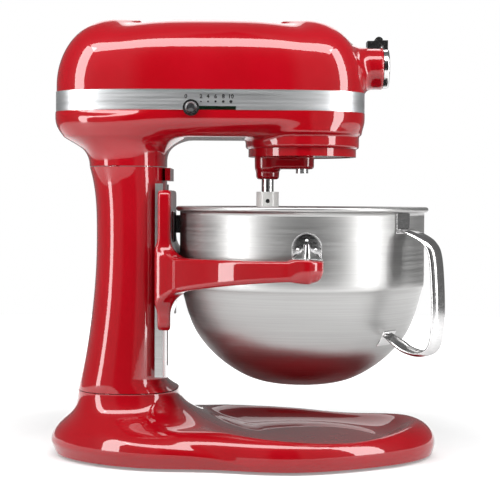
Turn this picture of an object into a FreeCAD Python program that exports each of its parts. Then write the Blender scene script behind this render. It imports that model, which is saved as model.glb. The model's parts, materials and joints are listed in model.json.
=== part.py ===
"""Bowl-lift stand mixer, as a parametric document.

Frame: millimetres, +X towards the attachment hub (front), +Z up. The origin is on the worktop, at the
middle of the base's length, in the mixer's plane of symmetry (Y = 0).
"""
import FreeCAD, Part
import math
import os

import Sketcher

Vector = FreeCAD.Vector
UP = Vector(0, 0, 1)

# ---------------------------------------------------------------------------------------------
# Driving dimensions: each one becomes a cell of the sheet "dim", and the sub-parts are bound to them
# ---------------------------------------------------------------------------------------------
SIZES = {
    # fits shared by many pieces
    "gap": 0.35,                    # between pieces that move past each other
    "running_clearance": 0.05,      # radial, shaft in its bearing
    # base casting
    "base_length": 371, "base_width": 224, "base_bottom": 3, "base_belt": 14, "base_top": 35,
    "base_rounding": 24, "base_wall": 4, "dish_floor": 18.5, "dish_radius": 76, "dish_rim_radius": 106,
    "waist_depth": 0.09, "waist_place": -35, "dish_bulge": 0.045, "dish_bulge_place": 58,
    "outline_spread": 46,
    "foot_height": 4, "foot_radius": 9,
    "screw_radius": 2.5, "screw_head_radius": 4.5, "screw_head_height": 3, "screw_ear_radius": 7,
    "screw_ear_height": 6,
    # column casting
    "column_foot": 64.5, "column_waist": 211, "column_top": 278, "column_rear": 142.9,
    "column_front": 76, "column_half_width": 48, "column_wall": 5, "foot_flare": 17.8, "foot_flare_side": 5,
    "top_flare": 6.8, "neck_front": 64, "neck_sweep": 12, "neck_foot": 24,
    # head castings
    "head_rear": 181.3, "head_front": 114, "head_half_width": 60, "head_bottom": 306, "head_top": 419.5,
    "head_shoulder": 355, "head_end_rounding": 55, "head_wall": 4, "head_edge": 14,
    "band_bottom": 330, "band_top": 349, "band_thickness": 3, "band_proud": 0.6,
    "boss_radius": 56, "boss_bottom": 296,
    # planetary gear train
    "bowl_axis": 55, "planet_offset": 33.3, "ring_teeth": 60, "planet_teeth": 15,
    "ring_gear_bottom": 298.5, "ring_gear_height": 10, "ring_gear_outer": 50.5,
    "gear_backlash": 0.12, "drip_ring_inner": 46.5, "drip_ring_outer": 52, "drip_ring_bottom": 288.5,
    "carrier_bottom": 277, "carrier_top": 287.8, "carrier_radius": 12.3, "centre_shaft_radius": 6,
    "agitator_radius": 5.85, "agitator_bottom": 212, "collar_top": 255, "collar_radius": 10.85,
    # bevel drive and layshaft
    "hub_axis": 374.4, "bevel_teeth": 36, "bevel_pinion_teeth": 12, "bevel_module": 2,
    "layshaft_teeth": 40, "motor_pinion_teeth": 12, "spur_module": 1, "spur_face": 10,
    "spur_place": -47, "layshaft_radius": 4.5, "layshaft_rear": -63,
    # motor
    "motor_rear": -152, "motor_front": -66, "stator_radius": 34, "stator_bore": 20, "armature_radius": 19.4,
    "motor_shaft_radius": 4, "bracket_thickness": 4,
    # attachment hub
    "nose_radius": 20.1, "nose_front": 131.8, "sleeve_outer": 17, "hub_bore": 14.5,
    "cover_radius": 19, "cover_thickness": 5.4, "hinge_x": 127.7, "hinge_z": 400.2,
    "hinge_pin_radius": 1.5, "knob_x": 123.5, "knob_screw_radius": 3, "knob_radius": 7.5,
    "knob_stand_off": 2.5,
    # speed lever
    "lever_x": -50, "lever_z": 331.6, "lever_travel": 37.6, "lever_arm_radius": 1.6, "lever_knob_radius": 6.8,
    "lever_knob_y": 66,
    # bowl
    "bowl_radius": 118, "bowl_bead_radius": 121.8, "bowl_rim": 241, "bowl_bottom": 69, "bowl_wall": 1.2,
    "handle_angle": -41, "handle_width": 20, "handle_reach": 160, "strap": 3,
    # yoke and lift
    "pin_offset": 129, "arm_boss_radius": 14.5, "boss_top": 194, "arm_boss_bottom": 174, "pin_radius": 3.5,
    "yoke_bottom": 124, "yoke_top": 256, "yoke_thickness": 6, "yoke_half_width": 53, "arm_inner": 126.5,
    "arm_thickness": 15, "arm_root_bottom": 156, "lift_travel": 45, "rail_x": -80.5, "rail_width": 7,
    "rail_inner": 41.5, "rail_thickness": 6, "rail_bottom": 80, "rail_top": 262,
    "lever_axis_x": -100, "lever_axis_z": 150, "crank_radius": 26, "crank_pin_radius": 4,
    "lift_shaft_radius": 5, "slot_clearance": 2.4, "slider_thickness": 10, "slider_height": 11,
    "lift_lever_y": 56, "lift_lever_length": 62,
}

os.makedirs("parts", exist_ok=True)
doc = FreeCAD.newDocument("stand_mixer")
dim = doc.addObject("Spreadsheet::Sheet", "dim")
for row, (alias, number) in enumerate(SIZES.items(), start=1):
    dim.set(f"A{row}", alias)
    dim.set(f"B{row}", str(number))
    dim.setAlias(f"B{row}", alias)
doc.recompute()

NODES = []                          # the finished sub-parts, in the order they are made


def size(expression):
    """The number that an expression of the sheet gives, such as size("dim.base_length / 2")."""
    return float(dim.evalExpression(expression))


class Sheet:
    """Reads a size of the sheet by name: D.base_length."""
    def __getattr__(self, alias):
        return float(dim.get(alias))


D = Sheet()

# ---------------------------------------------------------------------------------------------
# Helpers: placing, primitives and booleans, sketch-based bodies
# ---------------------------------------------------------------------------------------------
UPRIGHT = (Vector(0, 0, 1), 0)
ALONG_X = (Vector(0, 1, 0), 90)     # own Z axis turned to +X
ALONG_Y = (Vector(1, 0, 0), -90)    # own Z axis turned to +Y
ALONG_MINUS_Y = (Vector(1, 0, 0), 90)


def place(piece, at, turn=UPRIGHT):
    """Turn a piece, and bind the three coordinates of its origin to expressions."""
    piece.Placement = FreeCAD.Placement(Vector(), FreeCAD.Rotation(*turn))
    for axis, expression in zip("xyz", at):
        piece.setExpression(f"Placement.Base.{axis}", expression)
    return piece


def primitive(kind, name, at, turn=UPRIGHT, **sizes):
    """A Part primitive whose sizes and place are expressions of the sheet."""
    piece = doc.addObject("Part::" + kind, name)
    for name_of_size, expression in sizes.items():
        piece.setExpression(name_of_size, expression)
    return place(piece, at, turn)


def cylinder(name, radius, height, at, turn=UPRIGHT):
    return primitive("Cylinder", name, at, turn, Radius=radius, Height=height)


def box(name, length, width, height, at):
    """A box centred on its place in X and Y, standing on it in Z."""
    corner = (f"({at[0]}) - ({length}) / 2", f"({at[1]}) - ({width}) / 2", at[2])
    return primitive("Box", name, corner, Length=length, Width=width, Height=height)


def fuse(name, *pieces):
    joined = doc.addObject("Part::MultiFuse", name)
    joined.Shapes = list(pieces)
    joined.Refine = True
    return joined


def cut(name, base, *tools):
    """The base with every tool taken out of it."""
    result = doc.addObject("Part::Cut", name)
    result.Base = base
    result.Tool = tools[0] if len(tools) == 1 else fuse(name + "_tools", *tools)
    return result


def group(name, *pieces):
    """Separate solids that share one node."""
    compound = doc.addObject("Part::Compound", name)
    compound.Links = list(pieces)
    return compound


def node(label, piece):
    """Name a finished sub-part and list it for writing."""
    piece.Label = label
    NODES.append(piece)
    return piece


def outline_sketch(body, role, outline):
    """A closed outline of straight lines on one of the body's planes, every corner bound to the sheet."""
    sketch = body.newObject("Sketcher::SketchObject", body.Name + "_outline")
    plane = [feature for feature in body.Origin.OriginFeatures if feature.Role == role][0]
    sketch.AttachmentSupport = [(plane, "")]
    sketch.MapMode = "FlatFace"
    corners = [Vector(size(u), size(v), 0) for u, v in outline]
    count = len(corners)
    sketch.addGeometry([Part.LineSegment(corners[i], corners[(i + 1) % count]) for i in range(count)])
    for i in range(count):
        sketch.addConstraint(Sketcher.Constraint("Coincident", i, 2, (i + 1) % count, 1))
    for i, (u, v) in enumerate(outline):
        bind_coordinate(sketch, i, "DistanceX", -2, u, corners[i].x)
        bind_coordinate(sketch, i, "DistanceY", -1, v, corners[i].y)
    return sketch


def bind_coordinate(sketch, corner, kind, axis, expression, value):
    """Hold one coordinate of a corner: on the axis when it is zero, else by a bound distance."""
    if value == 0:
        sketch.addConstraint(Sketcher.Constraint("PointOnObject", corner, 1, axis))
    else:
        index = sketch.addConstraint(Sketcher.Constraint(kind, -1, 1, corner, 1, value))
        sketch.setExpression(f"Constraints[{index}]", expression)


def turned(name, outline, at=("0", "0", "0"), turn=UPRIGHT):
    """A body of revolution: (radius, height) corners turned about the body's own Z axis."""
    body = doc.addObject("PartDesign::Body", name)
    sketch = outline_sketch(body, "XZ_Plane", outline)
    revolution = body.newObject("PartDesign::Revolution", name + "_turning")
    revolution.Profile = sketch
    revolution.ReferenceAxis = (sketch, ["V_Axis"])
    revolution.Angle = 360
    return place(body, at, turn)


def tube(name, inner, outer, height, at, turn=UPRIGHT):
    """A plain ring or bush, turned in one piece."""
    outline = [(inner, "0"), (outer, "0"), (outer, height), (inner, height)]
    return turned(name, outline, at, turn)


def rod(name, steps, at, turn=UPRIGHT):
    """A stepped shaft: (radius, from height, to height) for each step, from the bottom up."""
    outline = [("0", steps[0][1])]
    for radius, low, high in steps:
        outline += [(radius, low), (radius, high)]
    outline.append(("0", steps[-1][2]))
    return turned(name, outline, at, turn)


def feature(name, shape):
    """A piece whose shape is worked out with Part's functions from sizes of the sheet."""
    piece = doc.addObject("Part::Feature", name)
    piece.Shape = shape
    return piece


def mirrored(shape):
    """The same shape on the other side of the plane of symmetry."""
    return shape.mirror(Vector(), Vector(0, 1, 0))


# ---------------------------------------------------------------------------------------------
# Helpers: castings lofted through closed rings
# ---------------------------------------------------------------------------------------------
RING_POINTS = 32


def ring(point_at, count=RING_POINTS):
    """A smooth closed wire through point_at(angle) for equal steps of the angle."""
    curve = Part.BSplineCurve()
    curve.interpolate([point_at(2 * math.pi * i / count) for i in range(count)], PeriodicFlag=True)
    return Part.Wire(curve.toShape())


def rounded(angle, power):
    """The (cos, sin) pair of a superellipse: power 2 is an ellipse, more is squarer."""
    c, s = math.cos(angle), math.sin(angle)
    return (math.copysign(abs(c) ** (2 / power), c), math.copysign(abs(s) ** (2 / power), s))


def oval_ring(rear, front, half_width, height, power=2.5):
    """A level superellipse ring between two X places."""
    middle, reach = (rear + front) / 2, (front - rear) / 2

    def point(angle):
        c, s = rounded(angle, power)
        return Vector(middle + reach * c, half_width * s, height)
    return ring(point)


def loft(rings):
    return Part.makeLoft(rings, True, False)


# ---------------------------------------------------------------------------------------------
# Base: low oval casting with a round dish under the bowl and a neck that rises to the column
# ---------------------------------------------------------------------------------------------
def base_ring(height, inset):
    """The base's outline: an ellipse, a little waisted behind the dish and fuller beside it."""
    reach, half_width = D.base_length / 2 - inset, D.base_width / 2 - inset

    def point(angle):
        x = reach * math.cos(angle)
        waist = D.waist_depth * math.exp(-((x - D.waist_place) / D.outline_spread) ** 2)
        bulge = D.dish_bulge * math.exp(-((x - D.dish_bulge_place) / D.outline_spread) ** 2)
        return Vector(x, half_width * math.sin(angle) * (1 - waist + bulge), height)
    return ring(point)


def base_inset(height):
    """How far the crown of the base has drawn in at a height above the belt."""
    rise = min(1, max(0, (height - D.base_belt) / (D.base_top - D.base_belt)))
    return D.base_rounding * (1 - math.sqrt(1 - rise ** 2))


def neck_ring(height, inset=0.0):
    """The neck between the base's crown and the foot of the column."""
    rise = (height - D.neck_foot) / (D.column_foot - D.neck_foot)
    spread = (1 - rise) ** 2
    rear = -D.column_rear - D.foot_flare - spread * (D.base_length / 2 - D.column_rear - D.foot_flare - 9)
    front = -D.neck_front + spread * (D.neck_front - 10)
    half_width = D.column_half_width + D.foot_flare_side + spread * 36
    return oval_ring(rear + inset, front - inset, half_width - inset, height)


def column_ring(height, inset=0.0):
    """The column: wider at its foot, narrowest at its waist, and opening again towards the head."""
    low = max(0, D.column_waist - height) / (D.column_waist - D.column_foot)
    high = max(0, height - D.column_waist) / (D.column_top - D.column_waist)
    rear = -D.column_rear - D.foot_flare * low ** 2 - D.top_flare * high ** 3
    half_width = D.column_half_width + D.foot_flare_side * low ** 2 + 3 * high ** 3
    sweep = max(0, 1 - (height - D.column_foot) / D.neck_sweep)
    front = -D.column_front + (D.column_front - D.neck_front) * sweep ** 2
    return oval_ring(rear + inset, front - inset, half_width - inset, height)


def levels(low, high, count):
    return [low + (high - low) * i / (count - 1) for i in range(count)]


def make_base():
    crown = [base_ring(z, base_inset(z)) for z in levels(D.base_belt, D.base_top - 0.4, 6)]
    outer = loft([base_ring(D.base_bottom, 2.0)] + crown)
    neck = loft([neck_ring(z) for z in levels(D.neck_foot, D.column_foot, 6)])
    dish_wall = Part.makeCone(D.dish_radius, D.dish_rim_radius, D.base_top - D.dish_floor,
                              Vector(D.bowl_axis, 0, D.dish_floor))
    rim_groove = Part.makeTorus(D.dish_radius, 0.8, Vector(D.bowl_axis, 0, D.dish_floor))
    dish = dish_wall.cut(loft([neck_ring(z) for z in levels(D.neck_foot, D.column_foot, 6)]))
    ceiling = D.dish_floor - D.base_wall
    hollow = loft([base_ring(z, D.base_wall + 3) for z in (D.base_bottom - 1, ceiling / 2, ceiling)])
    well = loft([neck_ring(z, D.base_wall + 2) for z in levels(ceiling - 1, D.column_foot, 6)]
                if ceiling - 1 >= D.neck_foot else
                [column_ring(D.column_foot, D.base_wall + 3).translated(Vector(0, 0, dz))
                 for dz in (ceiling - 1 - D.column_foot, 1)])
    casting = outer.fuse(neck).cut(dish).cut(rim_groove).cut(hollow).cut(well)
    for x, y in foot_places():
        casting = casting.fuse(Part.makeCylinder(D.foot_radius, ceiling + 1 - D.foot_height,
                                                 Vector(x, y, D.foot_height)))
    for x, y in base_screw_places():
        foot = Vector(x, y, D.column_foot)
        ear = Part.makeCylinder(D.screw_ear_radius, D.screw_ear_height, foot - UP * D.screw_ear_height)
        head_room = Part.makeCylinder(D.screw_head_radius + 0.5, 30, foot - UP * (D.screw_ear_height + 30))
        hole = Part.makeCylinder(D.screw_radius + 0.1, 8, foot - UP * 7)
        casting = casting.fuse(ear).cut(head_room).cut(hole)
    return feature("base_casting", casting.removeSplitter())


def base_screw_places():
    """Two to a side, inside the neck's wall."""
    return [(x, y * (D.column_half_width - 6)) for x in (-D.column_rear + 14, -D.column_front - 20)
            for y in (-1, 1)]


def foot_places():
    """Five feet: two beside the dish, two under the column, one at the front end."""
    front, side = D.base_length / 2, D.base_width / 2
    return [(front - 32, 0), (D.bowl_axis - 15, side - 24), (D.bowl_axis - 15, -(side - 24)),
            (-front + 55, side - 58), (-front + 55, -(side - 58))]


def make_feet():
    """Each rubber foot is a stepped disc, its plug pressed flat against the casting's post."""
    feet = []
    for x, y in foot_places():
        pad = Part.makeCone(D.foot_radius - 1, D.foot_radius, D.foot_height, Vector(x, y, 0))
        feet.append(pad)
    return feature("feet", Part.makeCompound(feet))


def make_base_screws():
    """Four long screws that pull the column down onto the base's neck, heads under the ears in the neck."""
    screws = []
    for x, y in base_screw_places():
        head_foot = Vector(x, y, D.column_foot - D.screw_ear_height - D.screw_head_height)
        head = Part.makeCylinder(D.screw_head_radius, D.screw_head_height, head_foot)
        shank = Part.makeCylinder(D.screw_radius, 16, head_foot + UP * D.screw_head_height)
        screws.append(head.fuse(shank))
    return screws


def make_column(screws):
    swept = D.column_foot + D.neck_sweep
    heights = levels(D.column_foot, swept, 4) + levels(swept + 12, D.column_top, 8)
    outer = loft([column_ring(z) for z in heights])
    inner = loft([column_ring(z, D.column_wall) for z in levels(D.column_foot - 0.5, D.column_top + 0.5, 9)])
    casting = outer.cut(inner)
    for y in (-1, 1):
        rib = Part.makeBox(D.rail_width + 2, 14, D.rail_top - D.rail_bottom,
                           Vector(D.rail_x - D.rail_width / 2 - 2, D.rail_inner - 14, D.rail_bottom))
        casting = casting.fuse(rib if y > 0 else mirrored(rib))
    front_wall = D.column_front + D.column_wall
    slot_top = D.lever_axis_z + D.crank_radius * math.sin(math.radians(60)) + D.slider_height + 3
    slot_bottom = slot_top - D.lift_travel - 2 * D.slider_height - 6
    slot = Part.makeBox(30, D.slider_thickness + 2, slot_top - slot_bottom,
                        Vector(-front_wall - 12, -D.slider_thickness / 2 - 1, slot_bottom))
    seat_end = Vector(D.lever_axis_x, D.column_half_width - 12, D.lever_axis_z)
    seat = Part.makeCylinder(12, D.column_wall + 9, seat_end, Vector(0, 1, 0))
    bore = Part.makeCylinder(8, 60, Vector(D.lever_axis_x, D.column_half_width - 20, D.lever_axis_z),
                             Vector(0, 1, 0))
    casting = casting.fuse(seat).cut(slot).cut(bore).cut(gland_hole())
    for screw in screws:
        base = screw.BoundBox
        centre = Vector((base.XMin + base.XMax) / 2, (base.YMin + base.YMax) / 2, D.column_foot)
        post = Part.makeCylinder(6, 14, centre)
        casting = casting.fuse(post).cut(Part.makeCylinder(D.screw_radius, 30, centre - UP * 5))
    return feature("column_casting", casting.removeSplitter())


def gland_hole():
    """Where the cord's gland sits, low on the back of the column."""
    return Part.makeCylinder(7, 9, Vector(-D.column_rear - 12, 0, D.column_foot + 22), Vector(1, 0, 0))


# ---------------------------------------------------------------------------------------------
# Head: lower housing with the neck and the planetary's boss, trim band, top cover with the hub's nose
# ---------------------------------------------------------------------------------------------
def head_ring(height, inset, end_inset=None, power=3.2):
    ends = inset if end_inset is None else end_inset
    return oval_ring(-D.head_rear + ends, D.head_front - ends, D.head_half_width - inset, height, power)


def crown_insets(rise, wall):
    """Side and end insets of the top cover, for a rise from 0 at the shoulder to 1 at the top."""
    side = (D.head_half_width - wall) * (1 - (1 - rise ** 2.6) ** (1 / 2.6))
    end = D.head_end_rounding * (1 - math.sqrt(1 - rise ** 2))
    return side + wall, end + wall


def edge_inset(height):
    """Rounding of the lower housing's bottom edge."""
    drop = max(0, 1 - (height - D.head_bottom) / 20)
    return D.head_edge * drop ** 2.5


def head_neck_ring(height, inset=0.0):
    rise = (height - D.column_top) / (D.head_bottom - D.column_top)
    rear = -D.column_rear - D.top_flare - 20 * max(0, rise) ** 2.3
    front = -D.column_front + 14 * max(0, rise) ** 4
    half_width = D.column_half_width + 3 + 6 * max(0, rise) ** 2
    return oval_ring(rear + inset, front - inset, half_width - inset, height)


def make_lower_housing():
    body_levels = (D.head_bottom, D.head_bottom + 4, D.head_bottom + 10, D.head_bottom + 17, D.band_bottom)
    shell = loft([head_ring(z, edge_inset(z)) for z in body_levels])
    lip_inset = D.band_thickness - D.band_proud
    lip = loft([head_ring(z, lip_inset) for z in (D.band_bottom - 3, D.band_top)])
    neck = loft([head_neck_ring(z) for z in levels(D.column_top, D.head_bottom + 3, 7)])
    boss = Part.makeCylinder(D.boss_radius, D.band_bottom - D.boss_bottom - 6,
                             Vector(D.bowl_axis, 0, D.boss_bottom))
    floor = D.head_bottom + D.head_wall
    inner = loft([head_ring(z, lip_inset + D.head_wall + edge_inset(z - D.head_wall))
                  for z in (floor, floor + 5, floor + 12, D.band_top + 1)])
    neck_well = loft([head_neck_ring(z, D.head_wall + 2) for z in levels(D.column_top - 1, floor + 1, 5)])
    boss_well = Part.makeCylinder(D.ring_gear_outer, 60, Vector(D.bowl_axis, 0, D.boss_bottom - 1))
    casting = shell.fuse(lip).fuse(neck).fuse(boss).cut(inner).cut(neck_well).cut(boss_well)
    casting = casting.cut(speed_slot()).cut(vent_opening())
    return feature("lower_housing_casting", casting.removeSplitter())


def speed_slot():
    length = D.lever_travel + 2 * (D.lever_arm_radius + 2)
    return Part.makeBox(length, 30, 2 * (D.lever_arm_radius + D.gap),
                        Vector(D.lever_x - D.lever_arm_radius - 2, -D.head_half_width - 12,
                               D.lever_z - D.lever_arm_radius - D.gap))


def make_trim_band():
    outer = loft([head_ring(z, -D.band_proud) for z in (D.band_bottom, D.band_top)])
    inner = loft([head_ring(z, D.band_thickness - D.band_proud) for z in (D.band_bottom - 1, D.band_top + 1)])
    return feature("trim_band_strip", outer.cut(inner).cut(speed_slot()))


def hub_nose():
    """The round nose on the front of the head, with its fillet."""
    nose = Part.makeCylinder(D.nose_radius, D.nose_front - D.head_front + 30,
                             Vector(D.head_front - 30, 0, D.hub_axis), Vector(1, 0, 0))
    fillet = Part.makeCone(D.nose_radius + 4, D.nose_radius, 6, Vector(D.head_front - 2, 0, D.hub_axis),
                           Vector(1, 0, 0))
    return nose.fuse(fillet)


def make_top_cover():
    rises = (0, 0.25, 0.5, 0.7, 0.84, 0.93, 0.98, 0.998)
    crown_height = D.head_top - D.head_shoulder

    def stack(wall, top):
        rings = [head_ring(D.band_top - (2 if wall else 0), wall)]
        return loft(rings + [head_ring(D.head_shoulder + rise * (crown_height - top), *crown_insets(rise, wall))
                             for rise in rises])
    outer = stack(0, 0)
    inner = stack(D.head_wall, D.head_wall)
    bore = Part.makeCylinder(D.sleeve_outer, 80, Vector(D.head_front - 40, 0, D.hub_axis), Vector(1, 0, 0))
    casting = outer.fuse(hub_nose()).cut(inner).cut(bore)
    knob_hole = Part.makeCylinder(D.knob_screw_radius + D.running_clearance, 40,
                                  Vector(D.knob_x, 0, D.hub_axis), Vector(0, 1, 0))
    below = Part.makeBox(200, 200, 60, Vector(D.head_front - 20, -100, D.band_top - 60))
    return feature("top_cover_casting", casting.cut(knob_hole).cut(below).removeSplitter())


def make_speed_scale():
    """A thin printed plate on the band, above the lever's slot."""
    length = D.lever_travel + 16
    plate = Part.makeBox(length, 20, 11.5, Vector(D.lever_x - 6, -D.head_half_width - 12, D.lever_z + 4.2))
    band = [head_ring(z, -D.band_proud - 0.3) for z in (D.band_bottom, D.band_top)]
    core = [head_ring(z, -D.band_proud) for z in (D.band_bottom - 1, D.band_top + 1)]
    return feature("speed_scale_plate", loft(band).cut(loft(core)).common(plate))


def make_head_screws():
    """Four screws up through the neck's flange that hold the head to the column."""
    screws = []
    for x in (-D.column_rear + 16, -D.column_front - 18):
        for y in (-1, 1):
            foot = Vector(x, y * (D.column_half_width - 22), D.column_top - 6)
            screws.append(Part.makeCylinder(5, 3, foot).fuse(Part.makeCylinder(2.5, 18, foot)))
    return screws


def vent_opening():
    """The recess for the louvred plate, low in the back of the head."""
    return Part.makeBox(5, 44, 13, Vector(-D.head_rear + 2, -22, D.band_bottom - 14.5))


def make_vent_grille():
    """Louvred plate in the back of the head."""
    plate = vent_opening()
    corner = plate.BoundBox
    for i in range(4):
        plate = plate.cut(Part.makeBox(6, 38, 1.4, Vector(corner.XMin - 0.5, -19, corner.ZMin + 1.6 + 2.8 * i)))
    return feature("vent_plate", plate)


# ---------------------------------------------------------------------------------------------
# Gears: stub teeth with a 25 degree pressure angle
# ---------------------------------------------------------------------------------------------
PRESSURE_ANGLE = math.radians(25)
ADDENDUM, DEDENDUM = 0.8, 1.0       # in modules
FLANK_STEPS = 4
BEVEL_SMALL_END = 0.75              # of the distance from the apex to the large end


def involute(angle):
    return math.tan(angle) - angle


def half_tooth(teeth, module, height, backlash):
    """Half the thickness of a tooth, measured at a height above the pitch circle."""
    pitch = module * teeth / 2
    base = pitch * math.cos(PRESSURE_ANGLE)
    radius = max(pitch + height, base)
    half_angle = (math.pi / (2 * teeth) + involute(PRESSURE_ANGLE) - involute(math.acos(base / radius)))
    return half_angle * (pitch + height) - backlash


def toothed_wire(teeth, flank, phase, to_point):
    """A closed wire round the teeth: flank holds (radius, half angle) from root to tip."""
    points = []
    for tooth in range(int(teeth)):
        middle = phase + 2 * math.pi * tooth / teeth
        points += [to_point(radius, middle - half) for radius, half in flank]
        points += [to_point(radius, middle + half) for radius, half in reversed(flank)]
    return Part.makePolygon(points + points[:1])


def spur_shape(teeth, module, face, phase, backlash, low=-DEDENDUM, high=ADDENDUM):
    """A solid spur gear on the Z axis, from z = 0 up to its face width."""
    pitch = module * teeth / 2
    heights = [module * h for h in levels(low, high, FLANK_STEPS)]
    flank = [(pitch + h, half_tooth(teeth, module, h, backlash) / (pitch + h)) for h in heights]
    wire = toothed_wire(teeth, flank, phase,
                        lambda radius, angle: Vector(radius * math.cos(angle), radius * math.sin(angle), 0))
    return Part.Face(wire).extrude(Vector(0, 0, face))


def bevel_shape(teeth, mate_teeth, module, phase):
    """A bevel gear whose apex is the origin and whose large end faces away from it along -Z."""
    cone = math.atan2(teeth, mate_teeth)
    apex_distance = module * mate_teeth / 2
    cone_length = module * math.hypot(teeth, mate_teeth) / 2
    flank = []
    for h in [module * h for h in levels(-DEDENDUM, ADDENDUM, FLANK_STEPS)]:
        slope = cone + math.atan(h / cone_length)
        half = half_tooth(teeth / math.cos(cone), module, h, D.gear_backlash)
        flank.append((apex_distance * math.tan(slope), half / (cone_length * math.sin(slope))))

    def section(scale):
        return toothed_wire(teeth, flank, phase, lambda radius, angle: Vector(
            scale * radius * math.cos(angle), scale * radius * math.sin(angle), -scale * apex_distance))
    return Part.makeLoft([section(1.0), section(BEVEL_SMALL_END)], True, True)


def along_x(shape):
    """Turn a shape made on the Z axis so that its Z axis points to +X and its X axis to -Z."""
    return shape.rotated(Vector(), Vector(0, 1, 0), 90)


def planet_module():
    """The module that makes the planet pinion's offset fit between the ring gear and the axis."""
    return 2 * D.planet_offset / (D.ring_teeth - D.planet_teeth)


def motor_axis():
    return D.hub_axis - D.spur_module * (D.layshaft_teeth + D.motor_pinion_teeth) / 2


def make_ring_gear():
    teeth = spur_shape(D.ring_teeth, planet_module(), D.ring_gear_height + 2, 0, -D.gear_backlash,
                       -ADDENDUM, DEDENDUM)
    teeth.translate(Vector(D.bowl_axis, 0, D.ring_gear_bottom - 1))
    blank = Part.makeCylinder(D.ring_gear_outer, D.ring_gear_height, Vector(D.bowl_axis, 0, D.ring_gear_bottom))
    return feature("ring_gear_blank", blank.cut(teeth))


def make_planet_pinion():
    gear = spur_shape(D.planet_teeth, planet_module(), D.ring_gear_height - 1, math.pi, D.gear_backlash)
    gear.translate(Vector(D.bowl_axis - D.planet_offset, 0, D.ring_gear_bottom + 0.5))
    bore = Part.makeCylinder(D.agitator_radius, 60,
                             Vector(D.bowl_axis - D.planet_offset, 0, D.ring_gear_bottom - 20))
    return feature("planet_pinion_gear", gear.cut(bore))


def make_spur_on_x(name, teeth, phase, bore_radius, axis_height):
    """A spur gear of the motor reduction, centred on the wheel's place along X."""
    gear = along_x(spur_shape(teeth, D.spur_module, D.spur_face, phase, D.gear_backlash))
    gear.translate(Vector(D.spur_place - D.spur_face / 2, 0, axis_height))
    bore = Part.makeCylinder(bore_radius, 80, Vector(D.spur_place - 40, 0, axis_height), Vector(1, 0, 0))
    return feature(name, gear.cut(bore))


def make_bevel_gear():
    gear = bevel_shape(D.bevel_teeth, D.bevel_pinion_teeth, D.bevel_module, math.pi / D.bevel_teeth)
    apex = Vector(D.bowl_axis, 0, D.hub_axis)
    gear.translate(apex)
    drop = D.bevel_module * D.bevel_pinion_teeth / 2
    hub = Part.makeCylinder(D.bevel_module * D.bevel_teeth / 2 - 8, 8, apex - Vector(0, 0, drop + 8))
    bore = Part.makeCylinder(D.centre_shaft_radius, 80, apex - Vector(0, 0, 60))
    return feature("bevel_wheel", gear.fuse(hub).cut(bore))


def make_bevel_pinion(name, towards, bore_radius):
    """A bevel pinion on the hub's axis, on the rear (-1) or front (+1) side of the centre shaft."""
    gear = bevel_shape(D.bevel_pinion_teeth, D.bevel_teeth, D.bevel_module, 0)
    reach = D.bevel_module * D.bevel_teeth / 2
    hub = Part.makeCylinder(D.bevel_module * D.bevel_pinion_teeth / 2 - 2.5, 1.3, Vector(0, 0, -reach - 1.3))
    gear = along_x(gear.fuse(hub))
    if towards > 0:
        gear = gear.mirror(Vector(), Vector(1, 0, 0))
    gear.translate(Vector(D.bowl_axis, 0, D.hub_axis))
    bore = Part.makeCylinder(bore_radius, 200, Vector(D.bowl_axis - 100, 0, D.hub_axis), Vector(1, 0, 0))
    return feature(name, gear.cut(bore))


# ---------------------------------------------------------------------------------------------
# Motor, gear case and shafts
# ---------------------------------------------------------------------------------------------
MOTOR_Z = "(dim.hub_axis - dim.spur_module * (dim.layshaft_teeth + dim.motor_pinion_teeth) / 2)"
HUB_Z = "dim.hub_axis"
STATOR_REAR, STATOR_FRONT = "(dim.motor_rear + 24)", "(dim.motor_front - 18)"
COIL_LENGTH = "8"
BEARING_WALL = "4"


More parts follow.
